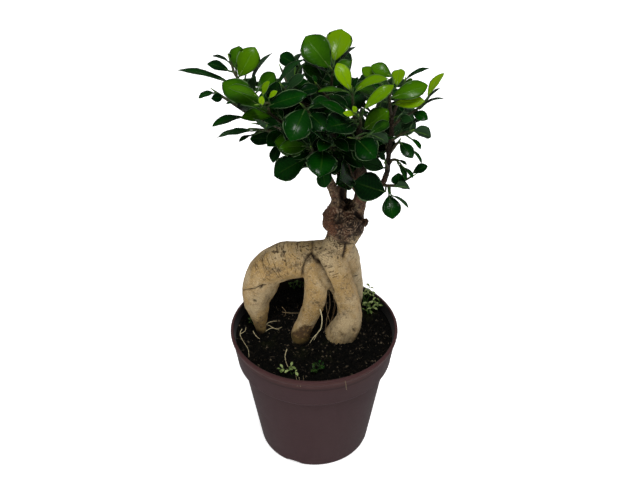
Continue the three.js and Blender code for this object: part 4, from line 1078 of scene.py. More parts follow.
@dataclass
class StemReader:
    """Reads a leafy stem of the frame: where each of its blades and its twig are.

    A blade of the frame ends in one point, before which each row has four: two on the edges and two on
    the rib, one thickness apart. The twig's rows have four points round one middle.
    """

    node: Object
    wood: BVHTree
    rib_thickness: float = 1.2 * MM
    rows: Places = ((0.17, 0.5, 0.83), (0.3, 0.74), (0.5,))
    tolerance: float = 0.03 * MM
    twig_radii: Pair = (0.8 * MM, 1.3 * MM)
    wood_gap: float = 0.5 * MM
    guide_gap: float = 2.6 * MM
    sunk: float = 2.4 * MM
    shortest: float = 3 * MM
    steepest: float = 0.4

    def __post_init__(self) -> None:
        """Merges the node's loose triangles into points that know their neighbours."""
        mesh = self.node.data
        loose = rows_of(mesh.vertices, "co")
        keys = np.round(loose / (2e-3 * MM)).astype(np.int64)
        _, index, inverse = np.unique(keys, axis=0, return_index=True, return_inverse=True)
        self.points = loose[index]
        self.near: list[set[int]] = [set() for _ in self.points]
        for polygon in mesh.polygons:
            corners = [int(inverse.ravel()[v]) for v in polygon.vertices]
            for a, b in itertools.permutations(corners, 2):
                if a != b:
                    self.near[a].add(b)
        self.finder = KDTree(len(self.points))
        for number, point in enumerate(self.points):
            self.finder.insert(point, number)
        self.finder.balance()
        self.used: set[int] = set()

    def at(self, place: Array) -> Optional[int]:
        """Returns the point of the mesh at a place, or None where there is none."""
        _, number, distance = self.finder.find(place)
        return number if distance < self.tolerance else None

    def blades(self) -> list[Blade]:
        """Returns the stem's blades."""
        rings = [(tip, sorted(around)) for tip, around in enumerate(self.near) if len(around) == 4]
        return [blade for tip, ring in rings if (blade := self.blade_at(tip, ring)) is not None]

    def blade_at(self, tip: int, ring: list[int]) -> Optional[Blade]:
        """Looks for a blade that ends at a point.

        Args:
            tip: The point.
            ring: Its four neighbours.

        Returns:
            The blade, or None where the neighbours aren't a row of one.
        """
        for a, b in itertools.combinations(ring, 2):
            upright = self.points[a] - self.points[b]
            if abs(norm(upright) - self.rib_thickness) > self.tolerance:
                continue
            c, d = (n for n in ring if n not in (a, b))
            blade = self.measured(tip, (a, b), (c, d))
            if blade is not None:
                return blade
        return None

    def measured(self, tip: int, rib: tuple[int, int], edge: tuple[int, int]) -> Optional[Blade]:
        """Measures a blade from its tip and its last row.

        Args:
            tip: The point at the tip.
            rib: The row's two points on the rib.
            edge: The row's two points on the edges.

        Returns:
            The blade, or None where the rows before the last aren't where they would be.
        """
        end = self.points[tip]
        middle = (self.points[rib[0]] + self.points[rib[1]]) / 2
        up = unit(self.points[rib[0]] - self.points[rib[1]])
        if ((self.points[edge[0]] + self.points[edge[1]]) / 2 - middle) @ up < 0:
            up = -up
        across = self.points[edge[1]] - self.points[edge[0]]
        spread = norm(across)
        across /= spread
        along = np.cross(across, up)
        if along @ (end - middle) < 0:
            across, along = -across, -along
        for rows in self.rows:
            last = rows[-1]
            length = ((end - middle) @ along) / (1 - last)
            arch = ((middle - end) @ up) / (4 * length * last * (1 - last)) if length > self.shortest else 1.0
            width = spread / blade_shape(last)
            blade = Blade(end - along * length, along, across, up, length, width, arch, end, 0.0)
            lift = up * self.rib_thickness / 2
            corners = [self.at(blade.rib(share) + side * lift) for share in rows for side in (-1, 1)]
            if length > self.shortest and abs(arch) < self.steepest and None not in corners:
                return self.with_stalk(blade, tip, rows[0])
        return None

    def with_stalk(self, blade: Blade, tip: int, first_row: float) -> Blade:
        """Finds where a blade's stalk leaves the twig.

        Args:
            blade: The blade.
            tip: The point at its tip.
            first_row: The share of its length at which its first row is.

        Returns:
            The blade with that place.
        """

        def beyond_base(number: int) -> bool:
            """Tells whether a point is further along the blade than its base."""
            return (self.points[number] - blade.base) @ blade.along > 0.4 * first_row * blade.length

        mine, edge = {tip}, {tip}
        while edge:
            edge = {n for each in edge for n in self.near[each] if beyond_base(n)} - mine
            mine |= edge
        ring = {n for each in mine for n in self.near[each]} - mine
        back = {n for each in ring for n in self.near[each]} - mine - ring
        self.used |= mine | ring
        start = self.points[sorted(back)].mean(axis=0) if back else blade.base - blade.along * 2 * MM
        return replace(blade, stalk_from=start)

    def twig(self, blades: Sequence[Blade]) -> Array:
        """Returns the twig's middle line, from inside the wood to its end.

        Args:
            blades: The stem's blades, whose stalks stand on the twig where no ring of it is left.

        Returns:
            The points of the line.
        """
        rest = [n for n in range(len(self.points)) if n not in self.used]
        guides = self.ring_middles(rest)
        touching = [n for n in rest if self.wood.find_nearest(Vector(self.points[n]))[3] < self.wood_gap]
        if touching:
            foot = self.points[touching].mean(axis=0)
        else:
            starts = [*guides, *(blade.stalk_from for blade in blades)]
            hits = [self.wood.find_nearest(Vector(start)) for start in starts]
            foot = np.array(min(hits, key=lambda hit: hit[3])[0])
        guides.sort(key=lambda guide: norm(guide - foot))
        for blade in sorted(blades, key=lambda each: norm(each.stalk_from - foot)):
            line = catmull_rom(np.array([foot, *guides]), 40) if guides else foot[None]
            if norm(line - blade.stalk_from, axis=1).min() > self.guide_gap:
                guides.append(blade.stalk_from)
                guides.sort(key=lambda guide: norm(guide - foot))
        return np.array([foot + unit(foot - guides[0]) * self.sunk, foot, *guides])

    def ring_middles(self, rest: list[int]) -> list[Array]:
        """Finds the middles of the twig's rings, each by two crossing pairs of points.

        Args:
            rest: The points that are on no blade.

        Returns:
            The middles.
        """
        pairs = []
        for a, b in itertools.combinations(rest, 2):
            way = self.points[a] - self.points[b]
            span = norm(way)
            if 2 * self.twig_radii[0] - self.tolerance < span < 2 * self.twig_radii[1] + self.tolerance:
                pairs.append((span, (self.points[a] + self.points[b]) / 2, way))
        middles: list[Array] = []
        for (span, middle, way), (other_span, other, cross) in itertools.combinations(pairs, 2):
            if abs(span - other_span) > self.tolerance or norm(middle - other) > self.tolerance:
                continue
            square = abs(way @ cross) < 0.05 * span * span
            if square and all(norm(middle - known) > 1 * MM for known in middles):
                middles.append(middle)
        return middles


@dataclass(frozen=True)
class BrightSpot:
    """A part of the picture where leaves are bright, from young colour and painted light, or grey-green where
    the value is below 0, as painted sheen.
    """

    across: float
    down: float
    reach: float
    youth_and_light: float

    def youth_and_light_at(self, seen: Array) -> float:
        """Returns the youth and painted light that the spot gives to a leaf seen at a picture point."""
        gap = math.hypot(seen[0] - self.across, seen[1] - self.down)
        return self.youth_and_light * min(1.0, max(0.0, 1.6 - gap / self.reach))

    def is_near(self, seen: Array) -> bool:
        """Tells whether one of the picture points is within the spot's reach."""
        return bool((norm(seen - (self.across, self.down), axis=1) < self.reach + 2).any())


# Where leaves are painted bright, for young colour and painted light, and grey-green below 0, as painted
# sheen.
BRIGHT_SPOTS: tuple[BrightSpot, ...] = tuple(itertools.starmap(BrightSpot, (
    (241, 63, 7, 0.9), (236, 51, 5, 0.6), (318, 49, 7, 0.42), (340, 42, 7, 0.8), (342, 74, 6, 0.9),
    (371, 80, 7, 0.75), (378, 96, 6, 0.75), (396, 76, 7, 0.8), (378, 69, 8, 0.6), (408, 90, 8, 0.6),
    (410, 100, 6, 0.85), (437, 82, 7, 0.9), (247, 93, 6, 0.6), (265, 87, 5, 0.8), (264, 101, 5, 1.0),
    (272, 94, 4, 0.9), (262, 116, 6, 0.45), (351, 112, 6, 1.0), (378, 120, 6, 0.6), (293, 146, 6, 0.35),
    (298, 77, 6, 0.45), (310, 70, 5, 0.4), (333, 90, 6, 0.4), (293, 80, 7, -1.0), (405, 125, 7, -0.9),
    (418, 132, 6, -0.7), (376, 162, 6, -0.6), (438, 103, 6, -1.0), (262, 62, 6, -0.8), (232, 129, 7, -0.8),
    (345, 66, 8, -0.2), (196, 73, 7, -0.5), (401, 202, 5, -0.8), (378, 176, 8, 0.3),
)))


@dataclass(frozen=True)
class LeafFinish:
    """The blades' colours: dark and glossy when grown, bright when young and where light is painted,
    grey-green below and where sheen is painted.
    """

    old: Colour = srgb(1, 26, 4)
    grown: Colour = srgb(4, 48, 2)
    young: Colour = srgb(54, 98, 0)
    youngest: Colour = srgb(112, 148, 0)
    # Grey-green of the undersides, also put on tops as painted sheen.
    under: Colour = srgb(38, 62, 36)
    rib: Colour = srgb(88, 128, 44)
    # Painted highlight along the blades' edges.
    edge_highlight: Colour = srgb(112, 138, 96)
    name: str = "leaf_blade"

    def material(self) -> Material:
        """Builds the blades' material.

        Returns:
            The material, which reads the attributes share, side, upper, youth_and_light and chance.
        """
        paint = Paint(self.name)
        share, side, upper = (paint.named(name) for name in ("share", "side", "upper"))
        youth_and_light, chance = paint.named("youth_and_light"), paint.named("chance")
        edge = paint.math("ABSOLUTE", side)
        mottle = paint.noise(paint.place, 160, 3, 0.6)
        # Painted sheen: each blade is lighter along its middle towards the tip.
        glow = paint.step(share, 0.1, 0.75) * paint.step(edge, 1.0, 0.2)
        tone_light_and_sheen = chance + (mottle - 0.5) + (glow - 0.5) * 0.5
        grown = paint.blend(paint.step(tone_light_and_sheen, 0.1, 1.0), self.old, self.grown)
        bright = paint.blend(paint.step(youth_and_light, 0.55, 1.0), self.young, self.youngest)
        tone_light_and_sheen = youth_and_light * (glow * 0.5 + 0.75) + (mottle - 0.5) * 0.3
        body = paint.blend(paint.step(tone_light_and_sheen, 0.05, 0.75), grown, bright)
        # Painted sheen: the underside's grey-green on the tops where the value is below 0.
        body = paint.blend(paint.step(youth_and_light, 0.0, -1.0) * 0.6, body, self.under)
        vein = paint.math("FRACT", (share - edge * 0.17) * 10 + chance * 3)
        vein = paint.step(paint.math("ABSOLUTE", vein - 0.5), 0.38, 0.5) * paint.step(edge, 0.95, 0.7)
        rib = paint.step(edge, 0.085, 0.02) * paint.step(share, 1.0, 0.6)
        body = paint.blend(vein * 0.03, body, self.rib)
        body = paint.blend(rib * (youth_and_light * 0.3 + 0.1), body, self.rib)
        # Painted highlight: a thin pale line along each blade's edge.
        body = paint.blend(paint.step(edge, 0.88, 0.97) * 0.65, body, self.edge_highlight)
        below = paint.blend(paint.step(youth_and_light, 0.3, 0.9), self.under, self.young)
        below = paint.blend(rib * 0.8, below, self.rib)
        is_upper = paint.step(upper, -0.08, 0.08)
        colour = paint.blend(is_upper, below, body)
        roughness = 0.5 - is_upper * 0.32 + (mottle - 0.5) * 0.16
        height = 0.6 - vein * 0.05 - rib * is_upper * 0.5 + (mottle - 0.5) * 0.4
        return paint.finish(colour, roughness, height, 0.0003, {"Specular IOR Level": 0.12})


SEEDLING_LEAF = LeafFinish(
    young=srgb(84, 104, 50), youngest=srgb(146, 160, 104), under=srgb(86, 100, 62), rib=srgb(130, 146, 96),
    name="seedling_blade",
)


@dataclass(frozen=True)
class TwigFinish:
    """The twigs' and stalks' colours, from brown bark at the foot to green at the young end."""

    bark: Colour = srgb(44, 36, 25)
    bark_pale: Colour = srgb(80, 70, 50)
    green: Colour = srgb(44, 72, 24)
    bud: Colour = srgb(118, 150, 50)

    def material(self) -> Material:
        """Builds the twigs' material, which reads the attribute tone.

        Returns:
            The material: tone is 0 on bark, 1 on a stalk and 2 on a bud.
        """
        paint = Paint("twig")
        tone = paint.named("tone")
        flecks = paint.noise(paint.place, 900, 3, 0.6)
        bark = paint.blend(paint.step(flecks, 0.42, 0.62), self.bark, self.bark_pale)
        colour = paint.blend(paint.step(tone + (flecks - 0.5), 0.2, 0.9), bark, self.green)
        colour = paint.blend(paint.step(tone, 1.1, 2.0), colour, self.bud)
        return paint.finish(colour, 0.62 - flecks * 0.25, flecks, 0.0002)


def blade_tree() -> Shape:
    """Builds the leaf blades' tree.

    Returns:
        The tree, which grows a closed blade on each point, along the point's own axes.
    """
    sizes = {
        "Thickness": 0.5 * MM, "Cup": 0.24, "Wave": 0.03, "Twist": 0.14, "Fullest": 1.32,
        "Bluntness": 0.64, "Droop": 0.05, "Rows": 10, "Round": 8,
    }
    shape = Shape("leaf_blades", sizes)
    sockets = {"Radius": 1.0, "Depth": 1.0, "Vertices": shape.given("Round")}
    sockets["Side Segments"] = shape.given("Rows")
    blank = shape.node("GeometryNodeMeshCylinder", {"fill_type": "TRIANGLE_FAN"}, sockets)
    local = shape.node("GeometryNodeInputPosition")
    row = shape.part(local, "Z") + 0.5
    blank = shape.store(blank, "share", row - shape.math("SINE", row * (2 * math.pi)) * 0.09)
    blank = shape.store(blank, "side", shape.part(local, "X"))
    blank = shape.store(blank, "upper", shape.part(local, "Y"))
    sockets = {"Points": shape.given("Geometry"), "Instance": blank}
    grown = shape.node("GeometryNodeInstanceOnPoints", None, sockets)
    real = shape.node("GeometryNodeRealizeInstances", None, {0: grown})
    share, side, upper = (shape.named(name) for name in ("share", "side", "upper"))
    length, width, arch, chance = (shape.named(name) for name in ("length", "width", "arch", "chance"))
    outline = shape.math("SINE", share ** shape.given("Fullest") * math.pi)
    outline = shape.math("MAXIMUM", outline, 0.0) ** shape.given("Bluntness")
    outline = outline * shape.step(share, 0.8, 1.0, (1.0, 0.8))
    outline = shape.math("MAXIMUM", outline, 0.02)
    half = width * outline * 0.54
    edge = shape.math("ABSOLUTE", side)
    rise = arch * length * share * (1 - share) * 4
    droop = length * share**3 * (chance - 0.3) * shape.given("Droop")
    cup = half * edge**1.6 * shape.given("Cup")
    ripple = shape.math("SINE", share * 13 + chance * 40 + side * 1.3)
    wave = ripple * edge**3 * width * shape.given("Wave")
    twist = side * (chance - 0.5) * (share - 0.4) * width * shape.given("Twist")
    thick = upper * shape.given("Thickness") * (outline * 0.4 + 0.1)
    lift = rise - droop + cup + wave + twist + thick
    place = shape.named("base", "FLOAT_VECTOR")
    for name, reach in (("along", length * share), ("across", side * half), ("up", lift)):
        place = shape.vector("ADD", place, shape.scaled(shape.named(name, "FLOAT_VECTOR"), reach))
    shape.end(shape.node("GeometryNodeSetPosition", None, {"Geometry": real, "Position": place}))
    return shape


def twig_tree() -> Shape:
    """Builds the twigs' tree.

    Returns:
        The tree, which turns lines with a girth at each point into smooth closed twigs.
    """
    shape = Shape("twigs", {"Step": 1.3 * MM, "Round": 6})
    curve = shape.node("GeometryNodeMeshToCurve", None, {"Mesh": shape.given("Geometry")})
    spline = shape.node("GeometryNodeCurveSplineType", {"spline_type": "CATMULL_ROM"}, {"Curve": curve})
    sockets = {"Curve": spline, "Length": shape.given("Step")}
    fine = shape.node("GeometryNodeResampleCurve", {"mode": "LENGTH"}, sockets)
    sockets = {"Resolution": shape.given("Round"), "Radius": 1.0}
    ring = shape.node("GeometryNodeCurvePrimitiveCircle", None, sockets)
    sockets = {"Curve": fine, "Profile Curve": ring, "Scale": shape.named("girth"), "Fill Caps": True}
    shape.end(shape.node("GeometryNodeCurveToMesh", None, sockets))
    return shape


@dataclass
class Lines:
    """Lines of points that have a girth and a tone, gathered to become twigs in one go."""

    points: list[Array] = field(default_factory=list)
    girths: list[float] = field(default_factory=list)
    tones: list[float] = field(default_factory=list)
    edges: list[tuple[int, int]] = field(default_factory=list)

    def add(self, line: Sequence[Array], girth: Pair, tone: Pair) -> None:
        """Adds a line.

        Args:
            line: Its points.
            girth: Its radius at its start and its end.
            tone: Its tone there.
        """
        first = len(self.points)
        for number, point in enumerate(line):
            share = number / (len(line) - 1)
            self.points.append(point)
            self.girths.append(girth[0] + (girth[1] - girth[0]) * share)
            self.tones.append(tone[0] + (tone[1] - tone[0]) * share)
        self.edges += [(first + n, first + n + 1) for n in range(len(line) - 1)]

    def mesh(self, tree: Shape, material: Material) -> Mesh:
        """Makes twigs of the lines.

        Args:
            tree: The twigs' tree.
            material: Their material.

        Returns:
            Their mesh.
        """
        source = mesh_of(np.array(self.points), (), self.edges)
        put(source, "girth", np.array(self.girths))
        put(source, "tone", np.array(self.tones))
        return tree.run(source, material)


@dataclass
class Foliage:
    """What all leafy stems and seedlings share: their trees, finishes and seed."""

    leaf: LeafFinish = LeafFinish()
    twig: TwigFinish = TwigFinish()
    seed: int = 11

    def __post_init__(self) -> None:
        """Makes the shared trees and materials."""
        self.blade_tree = blade_tree()
        self.twig_tree = twig_tree()
        self.leaf_material = self.leaf.material()
        self.twig_material = self.twig.material()
        self.random = np.random.default_rng(self.seed)

    def blades_mesh(self, blades: Sequence[Blade]) -> Mesh:
        """Makes blades, each with a chance number of its own.

        Args:
            blades: Their places.

        Returns:
            Their mesh.
        """
        source = mesh_of(np.array([blade.base for blade in blades]))
        for name in ("base", "along", "across", "up", "length", "width", "arch", "youth_and_light"):
            put(source, name, np.array([getattr(blade, name) for blade in blades]))
        put(source, "chance", self.random.random(len(blades)))
        return self.blade_tree.run(source, self.leaf_material)


@dataclass
class LeafyStem:
    """A leafy stem: its twig, its stalks, its blades and the bud at its end."""

    node: Object
    foliage: Foliage
    wood: BVHTree
    twig_girth: Pair = (1.3 * MM, 0.75 * MM)
    stalk_girth: Pair = (0.65 * MM, 0.42 * MM)
    bud_length: float = 5 * MM

    def __post_init__(self) -> None:
        """Reads the node's blades and twig."""
        reader = StemReader(self.node, self.wood)
        self.blades = [replace(blade, youth_and_light=self.youth_and_light(blade)) for blade in reader.blades()]
        self.twig = reader.twig(self.blades)

    def build(self) -> int:
        """Builds the stem and shows it in place of its node.

        Returns:
            How many blades it has.
        """
        lines = Lines()
        lines.add(self.twig, self.twig_girth, (0.0, 0.55))
        way = unit(self.twig[-1] - self.twig[-2])
        bud = [self.twig[-1] + way * self.bud_length * share for share in (-0.1, 0.3, 0.7, 1.0)]
        lines.add(bud, (0.75 * MM, 0.15 * MM), (1.0, 2.0))
        for blade in self.blades:
            sag = (blade.base - blade.stalk_from) * 0.5
            middle = blade.stalk_from + sag - blade.along * 0.15 * norm(sag)
            stalk = [blade.stalk_from, middle, blade.base, blade.rib(0.1), blade.rib(0.22)]
            lines.add(stalk, self.stalk_girth, (0.7, 1.0 + max(blade.youth_and_light, 0)))
        meshes = [lines.mesh(self.foliage.twig_tree, self.foliage.twig_material)]
        if self.blades:
            meshes.append(self.foliage.blades_mesh(self.blades))
        show(self.node.name.replace("leafy_stem_", "leaves_"), joined(meshes), "leaf", self.node.name)
        return len(self.blades)

    def youth_and_light(self, blade: Blade) -> float:
        """Returns how young a blade looks and how much light is painted on it, from where it is seen."""
        seen = VIEW.picture_of(np.array([blade.rib(0.5)]))[0]
        return max((spot.youth_and_light_at(seen) for spot in BRIGHT_SPOTS), key=abs)


def within(outline: Sequence[Point], seen: Array) -> Array:
    """Tells which picture points lie inside a closed outline.

    Args:
        outline: The outline's corners.
        seen: The picture points, one a row.

    Returns:
        Whether each is inside.
    """
    inside = np.zeros(len(seen), bool)
    for (x0, y0), (x1, y1) in zip(outline, (*outline[1:], outline[0])):
        crosses = (seen[:, 1] < y0) != (seen[:, 1] < y1)
        inside ^= crosses & (seen[:, 0] < x0 + (seen[:, 1] - y0) * (x1 - x0) / ((y1 - y0) or 1.0))
    return inside


def surface_of(nodes: Iterable[Object]) -> BVHTree:
    """Gathers surfaces.

    Args:
        nodes: The nodes whose surfaces they are.

    Returns:
        The tree that finds places on them.
    """
    points: list[Vector] = []
    faces: list[list[int]] = []
    for node in nodes:
        first = len(points)
        points += [vertex.co for vertex in node.data.vertices]
        faces += [[first + corner for corner in polygon.vertices] for polygon in node.data.polygons]
    return BVHTree.FromPolygons(points, faces)


class Sight(Enum):
    """What the picture shows at a place where an inner leaf might go."""

    GAP = "no leaf is seen there"
    BEHIND = "it is hidden behind a leaf"
    TAKEN = "neither"


@dataclass
class InnerLeaves:
    """Leaves that fill the inside of the crown, on the twigs between the ones that the frame has.

    A leaf is put where the picture's dense crown has none of the frame's leaves in front, as long as it
    clears all others and hides none of them, so that the crown's outline stays as it is.
    """

    stems: Sequence[LeafyStem]
    trunk: Object
    dense: Places = (
        (226, 82), (254, 72), (287, 68), (315, 62), (338, 64), (375, 72), (404, 80), (420, 92),
        (421, 118), (408, 138), (386, 152), (380, 176), (362, 179), (352, 191), (338, 191), (333, 174),
        (316, 171), (283, 170), (274, 148), (250, 128), (232, 108),
    )
    clearance: float = 0.7 * MM
    spacing: float = 2.8 * MM
    apart: float = 4.2
    stalk: float = 4.5 * MM
    facing: Triple = (0.0, -0.5, 0.85)
    unrest: float = 0.22
    arch: float = 0.06
    slimness: Pair = (0.48, 0.6)
    twig_steps: int = 24
    bare_twig_steps: int = 4
    branch_steps: int = 30
    bare_branch_steps: int = 9
    lengths: Pair = (16 * MM, 35 * MM)
    depths: Pair = (-40 * MM, 55 * MM)
    heart: Triple = (0.014, 0.008, 0.2)
    most_hiding: int = 4
    tries: tuple[tuple[Sight, int, int], ...] = ((Sight.GAP, 16000, 90), (Sight.BEHIND, 9000, 120))
    seed: int = 4

    def __post_init__(self) -> None:
        """Gathers the frame's surfaces, which the leaves have to clear."""
        outlines = [blade.outline() for stem in self.stems for blade in stem.blades]
        corners = len(outlines[0])
        faces = [range(corners * number, corners * (number + 1)) for number in range(len(outlines))]
        self.leaves = BVHTree.FromPolygons(list(itertools.chain.from_iterable(outlines)), faces)
        self.branches = surface_of([self.trunk])
        self.surface = surface_of([*(stem.node for stem in self.stems), self.trunk])
        self.random = np.random.default_rng(self.seed)
        self.taken: list[Array] = []

    def fill(self) -> None:
        """Adds the leaves to the stems."""
        lines = [catmull_rom(stem.twig, self.twig_steps)[self.bare_twig_steps :] for stem in self.stems]
        spots = np.vstack(lines)
        owners = np.concatenate([np.full(len(line), number) for number, line in enumerate(lines)])
        for limb in (limb for limb in LIMBS.values() if limb.bark is Bark.BRANCH):
            line = limb.line(self.branch_steps)[self.bare_branch_steps :, :3]
            nearest = [int(norm(spots - place, axis=1).argmin()) for place in line]
            spots, owners = np.vstack([spots, line]), np.concatenate([owners, owners[nearest]])
        low, high = np.min(self.dense, axis=0), np.max(self.dense, axis=0)
        wanted = [(sight, most) for sight, tries, most in self.tries for _ in range(tries)]
        found = {sight: 0 for sight in Sight}
        for sight, most in wanted:
            across, down = self.random.uniform(low, high)
            middle = VIEW.at_depth(across, down, self.random.uniform(*self.depths))
            if found[sight] >= most or self.sight(middle) is not sight:
                continue
            lengths = 2 * (norm(spots - middle, axis=1) - self.stalk)
            outward = (middle - spots) @ (middle - self.heart)
            shortest, longest = self.lengths
            fitting = np.nonzero((lengths > shortest) & (lengths < longest) & (outward > 0))[0]
            if not len(fitting):
                continue
            spot = int(self.random.choice(fitting))
            blade, samples = self.blade(spots[spot], middle, lengths[spot])
            if self.fits(samples):
                found[sight] += 1
                self.taken.append(samples)
                self.stems[owners[spot]].blades.append(blade)

    def sight(self, middle: Array) -> Sight:
        """Looks at the picture where a leaf would go.

        Args:
            middle: The leaf's middle.

        Returns:
            What the picture shows there.
        """
        seen = VIEW.picture_of(middle[None])
        if not within(self.dense, seen)[0]:
            return Sight.TAKEN
        eye = Vector(VIEW.position)
        toward = Vector(middle) - eye
        leaf = self.leaves.ray_cast(eye, toward)[3] or math.inf
        branch = self.branches.ray_cast(eye, toward)[3] or math.inf
        if leaf < toward.length:
            return Sight.BEHIND
        if toward.length > branch or leaf < branch:
            return Sight.TAKEN
        gaps = [norm(VIEW.picture_of(other) - seen, axis=1).min() for other in self.taken]
        return Sight.GAP if min(gaps, default=math.inf) > self.apart else Sight.TAKEN

    def blade(self, spot: Array, middle: Array, length: float) -> tuple[Blade, Array]:
        """Makes a leaf that stands on a twig.

        Args:
            spot: The twig's point that it stands on.
            middle: The leaf's middle.
            length: Its length.

        Returns:
            The leaf, and points on it.
        """
        along = unit(middle - spot)
        up = np.array(self.facing) + self.random.normal(0, self.unrest, 3)
        up = unit(up - along * up.dot(along))
        width = length * self.random.uniform(*self.slimness)
        base = spot + along * self.stalk
        blade = Blade(base, along, np.cross(up, along), up, length, width, self.arch, spot, 0.0)
        sides = [blade.across * width * 0.42 * side for side in (-1, 0, 1)]
        return blade, np.array([blade.rib(share) + side for share in (0.3, 0.6, 0.88) for side in sides])

    def fits(self, samples: Array) -> bool:
        """Tells whether a leaf clears the others and hides few of the frame's.

        Args:
            samples: Points on the leaf, one a row.

        Returns:
            Whether it does.
        """
        seen = VIEW.picture_of(samples)
        if not within(self.dense, seen).all() or any(spot.is_near(seen) for spot in BRIGHT_SPOTS):
            return False
        if sum(self.covers(sample) for sample in samples) > self.most_hiding:
            return False
        if min(self.surface.find_nearest(Vector(sample))[3] for sample in samples) < self.clearance:
            return False
        gaps = (norm(samples[:, None] - other[None], axis=2).min() for other in self.taken)
        return all(gap > self.spacing for gap in gaps)

    def covers(self, sample: Array) -> bool:
        """Tells whether a point of a leaf would hide one of the frame's leaves in the picture.

        Args:
            sample: The point.

        Returns:
            Whether it would.
        """
        eye = Vector(VIEW.position)
        toward = Vector(sample) - eye
        hidden = self.leaves.ray_cast(eye, toward, toward.length)[0]
        behind = self.leaves.ray_cast(Vector(sample) + toward.normalized() * MM, toward)[0]
        return hidden is None and behind is not None


def rounded(corners: Sequence[Point], radius: float) -> list[Point]:
    """Rounds the corners of an outline.

    Args:
        corners: The outline's corners as radius and height, of which the ends stay.
        radius: How far before and after a corner the rounding starts, at most.

    Returns:
        The rounded outline.
    """
    result = [corners[0]]
    for before, corner, after in zip(corners, corners[1:], corners[2:]):
        here = Vector(corner)
        ways = [Vector(before) - here, Vector(after) - here]
        reach = [min(radius, way.length * 0.45) for way in ways]
        start, end = (here + way.normalized() * length for way, length in zip(ways, reach))
        for share in (0, 1 / 3, 2 / 3, 1):
            spot = start * (1 - share) ** 2 + here * (2 * share * (1 - share)) + end * share**2
            result.append((spot.x, spot.y))
    return [*result, corners[-1]]


def turned(outline: Sequence[Point], steps: int) -> Mesh:
    """Turns an outline about the axis.

    Args:
        outline: The outline's radius and height, from axis to axis.
        steps: How many faces to make round.

    Returns:
        The closed mesh.
    """
    angle = np.arange(steps) * 2 * math.pi / steps
    round_axis = np.stack([np.sin(angle), -np.cos(angle), 0 * angle], axis=1)
    rings = [round_axis * radius + (0, 0, height) for radius, height in outline[1:-1]]
    return closed_skin(rings, (0, 0, outline[0][1]), (0, 0, outline[-1][1]))


@dataclass(frozen=True)
class PlasticFinish:
    """The pot's satin plastic: a maroon brown, redder at the lip, with dust, faint scuffs and a painted
    highlight on the collar's ridge.
    """

    body: Colour = srgb(59, 39, 41)
    lip: Colour = srgb(70, 43, 41)
    # Dust for scuffs and clouds, and the colour of the painted highlight on the collar's ridge.
    dust_and_highlight: Colour = srgb(88, 74, 72)
    # Near-black for the inner wall above 93 mm.
    inner_wall_dark: Colour = srgb(14, 10, 9)
    lip_from: float = 88 * MM
    lip_to: float = 101 * MM

    def material(self) -> Material:
        """Builds the plastic's material.

        Returns:
            The material, on Object coordinates.
        """
        paint = Paint("pot_plastic")
        height = paint.part(paint.place, "Z")
        clouds = paint.noise(paint.place, 28, 4, 0.6)
        fine = paint.noise(paint.place, 1800, 2, 0.6)
        scuffs = paint.noise(paint.vector("MULTIPLY", paint.place, (160, 160, 900)), 1.0, 3, 0.6)
        toward = paint.step(height + (clouds - 0.5) * 0.012, self.lip_from, self.lip_to)
        colour = paint.blend(toward, self.body, self.lip)
        colour = paint.blend(paint.step(height, 100 * MM, 101.8 * MM) * 0.6, colour, self.body)
        colour = paint.blend(paint.step(scuffs, 0.6, 0.78) * 0.16, colour, self.dust_and_highlight)
        level = paint.vector("MULTIPLY", paint.place, (1, 1, 0))
        radius = paint.vector("LENGTH", level, output="Value")
        # The inner wall above 93 mm is made near-black.
        inner = paint.step(radius, 58.4 * MM, 57.6 * MM) * paint.step(height, 92 * MM, 93 * MM)
        colour = paint.blend(inner, colour, self.inner_wall_dark)
        colour = paint.blend(paint.step(clouds, 0.4, 0.8) * 0.07, colour, self.dust_and_highlight)
        # Painted highlight: a pale line along the collar's ridge at 76 mm.
        ridge = paint.step(paint.math("ABSOLUTE", height - 76 * MM), 1.3 * MM, 0.3 * MM)
        colour = paint.blend(ridge * 0.25, colour, self.dust_and_highlight)
        roughness = 0.46 + (clouds - 0.5) * 0.25 + (scuffs - 0.5) * 0.15
        fixed = {"Specular IOR Level": 0.12, "Sheen Weight": 0.045, "Sheen Roughness": 0.45}
        return paint.finish(colour, roughness, fine + scuffs * 0.6, 0.00004, fixed)


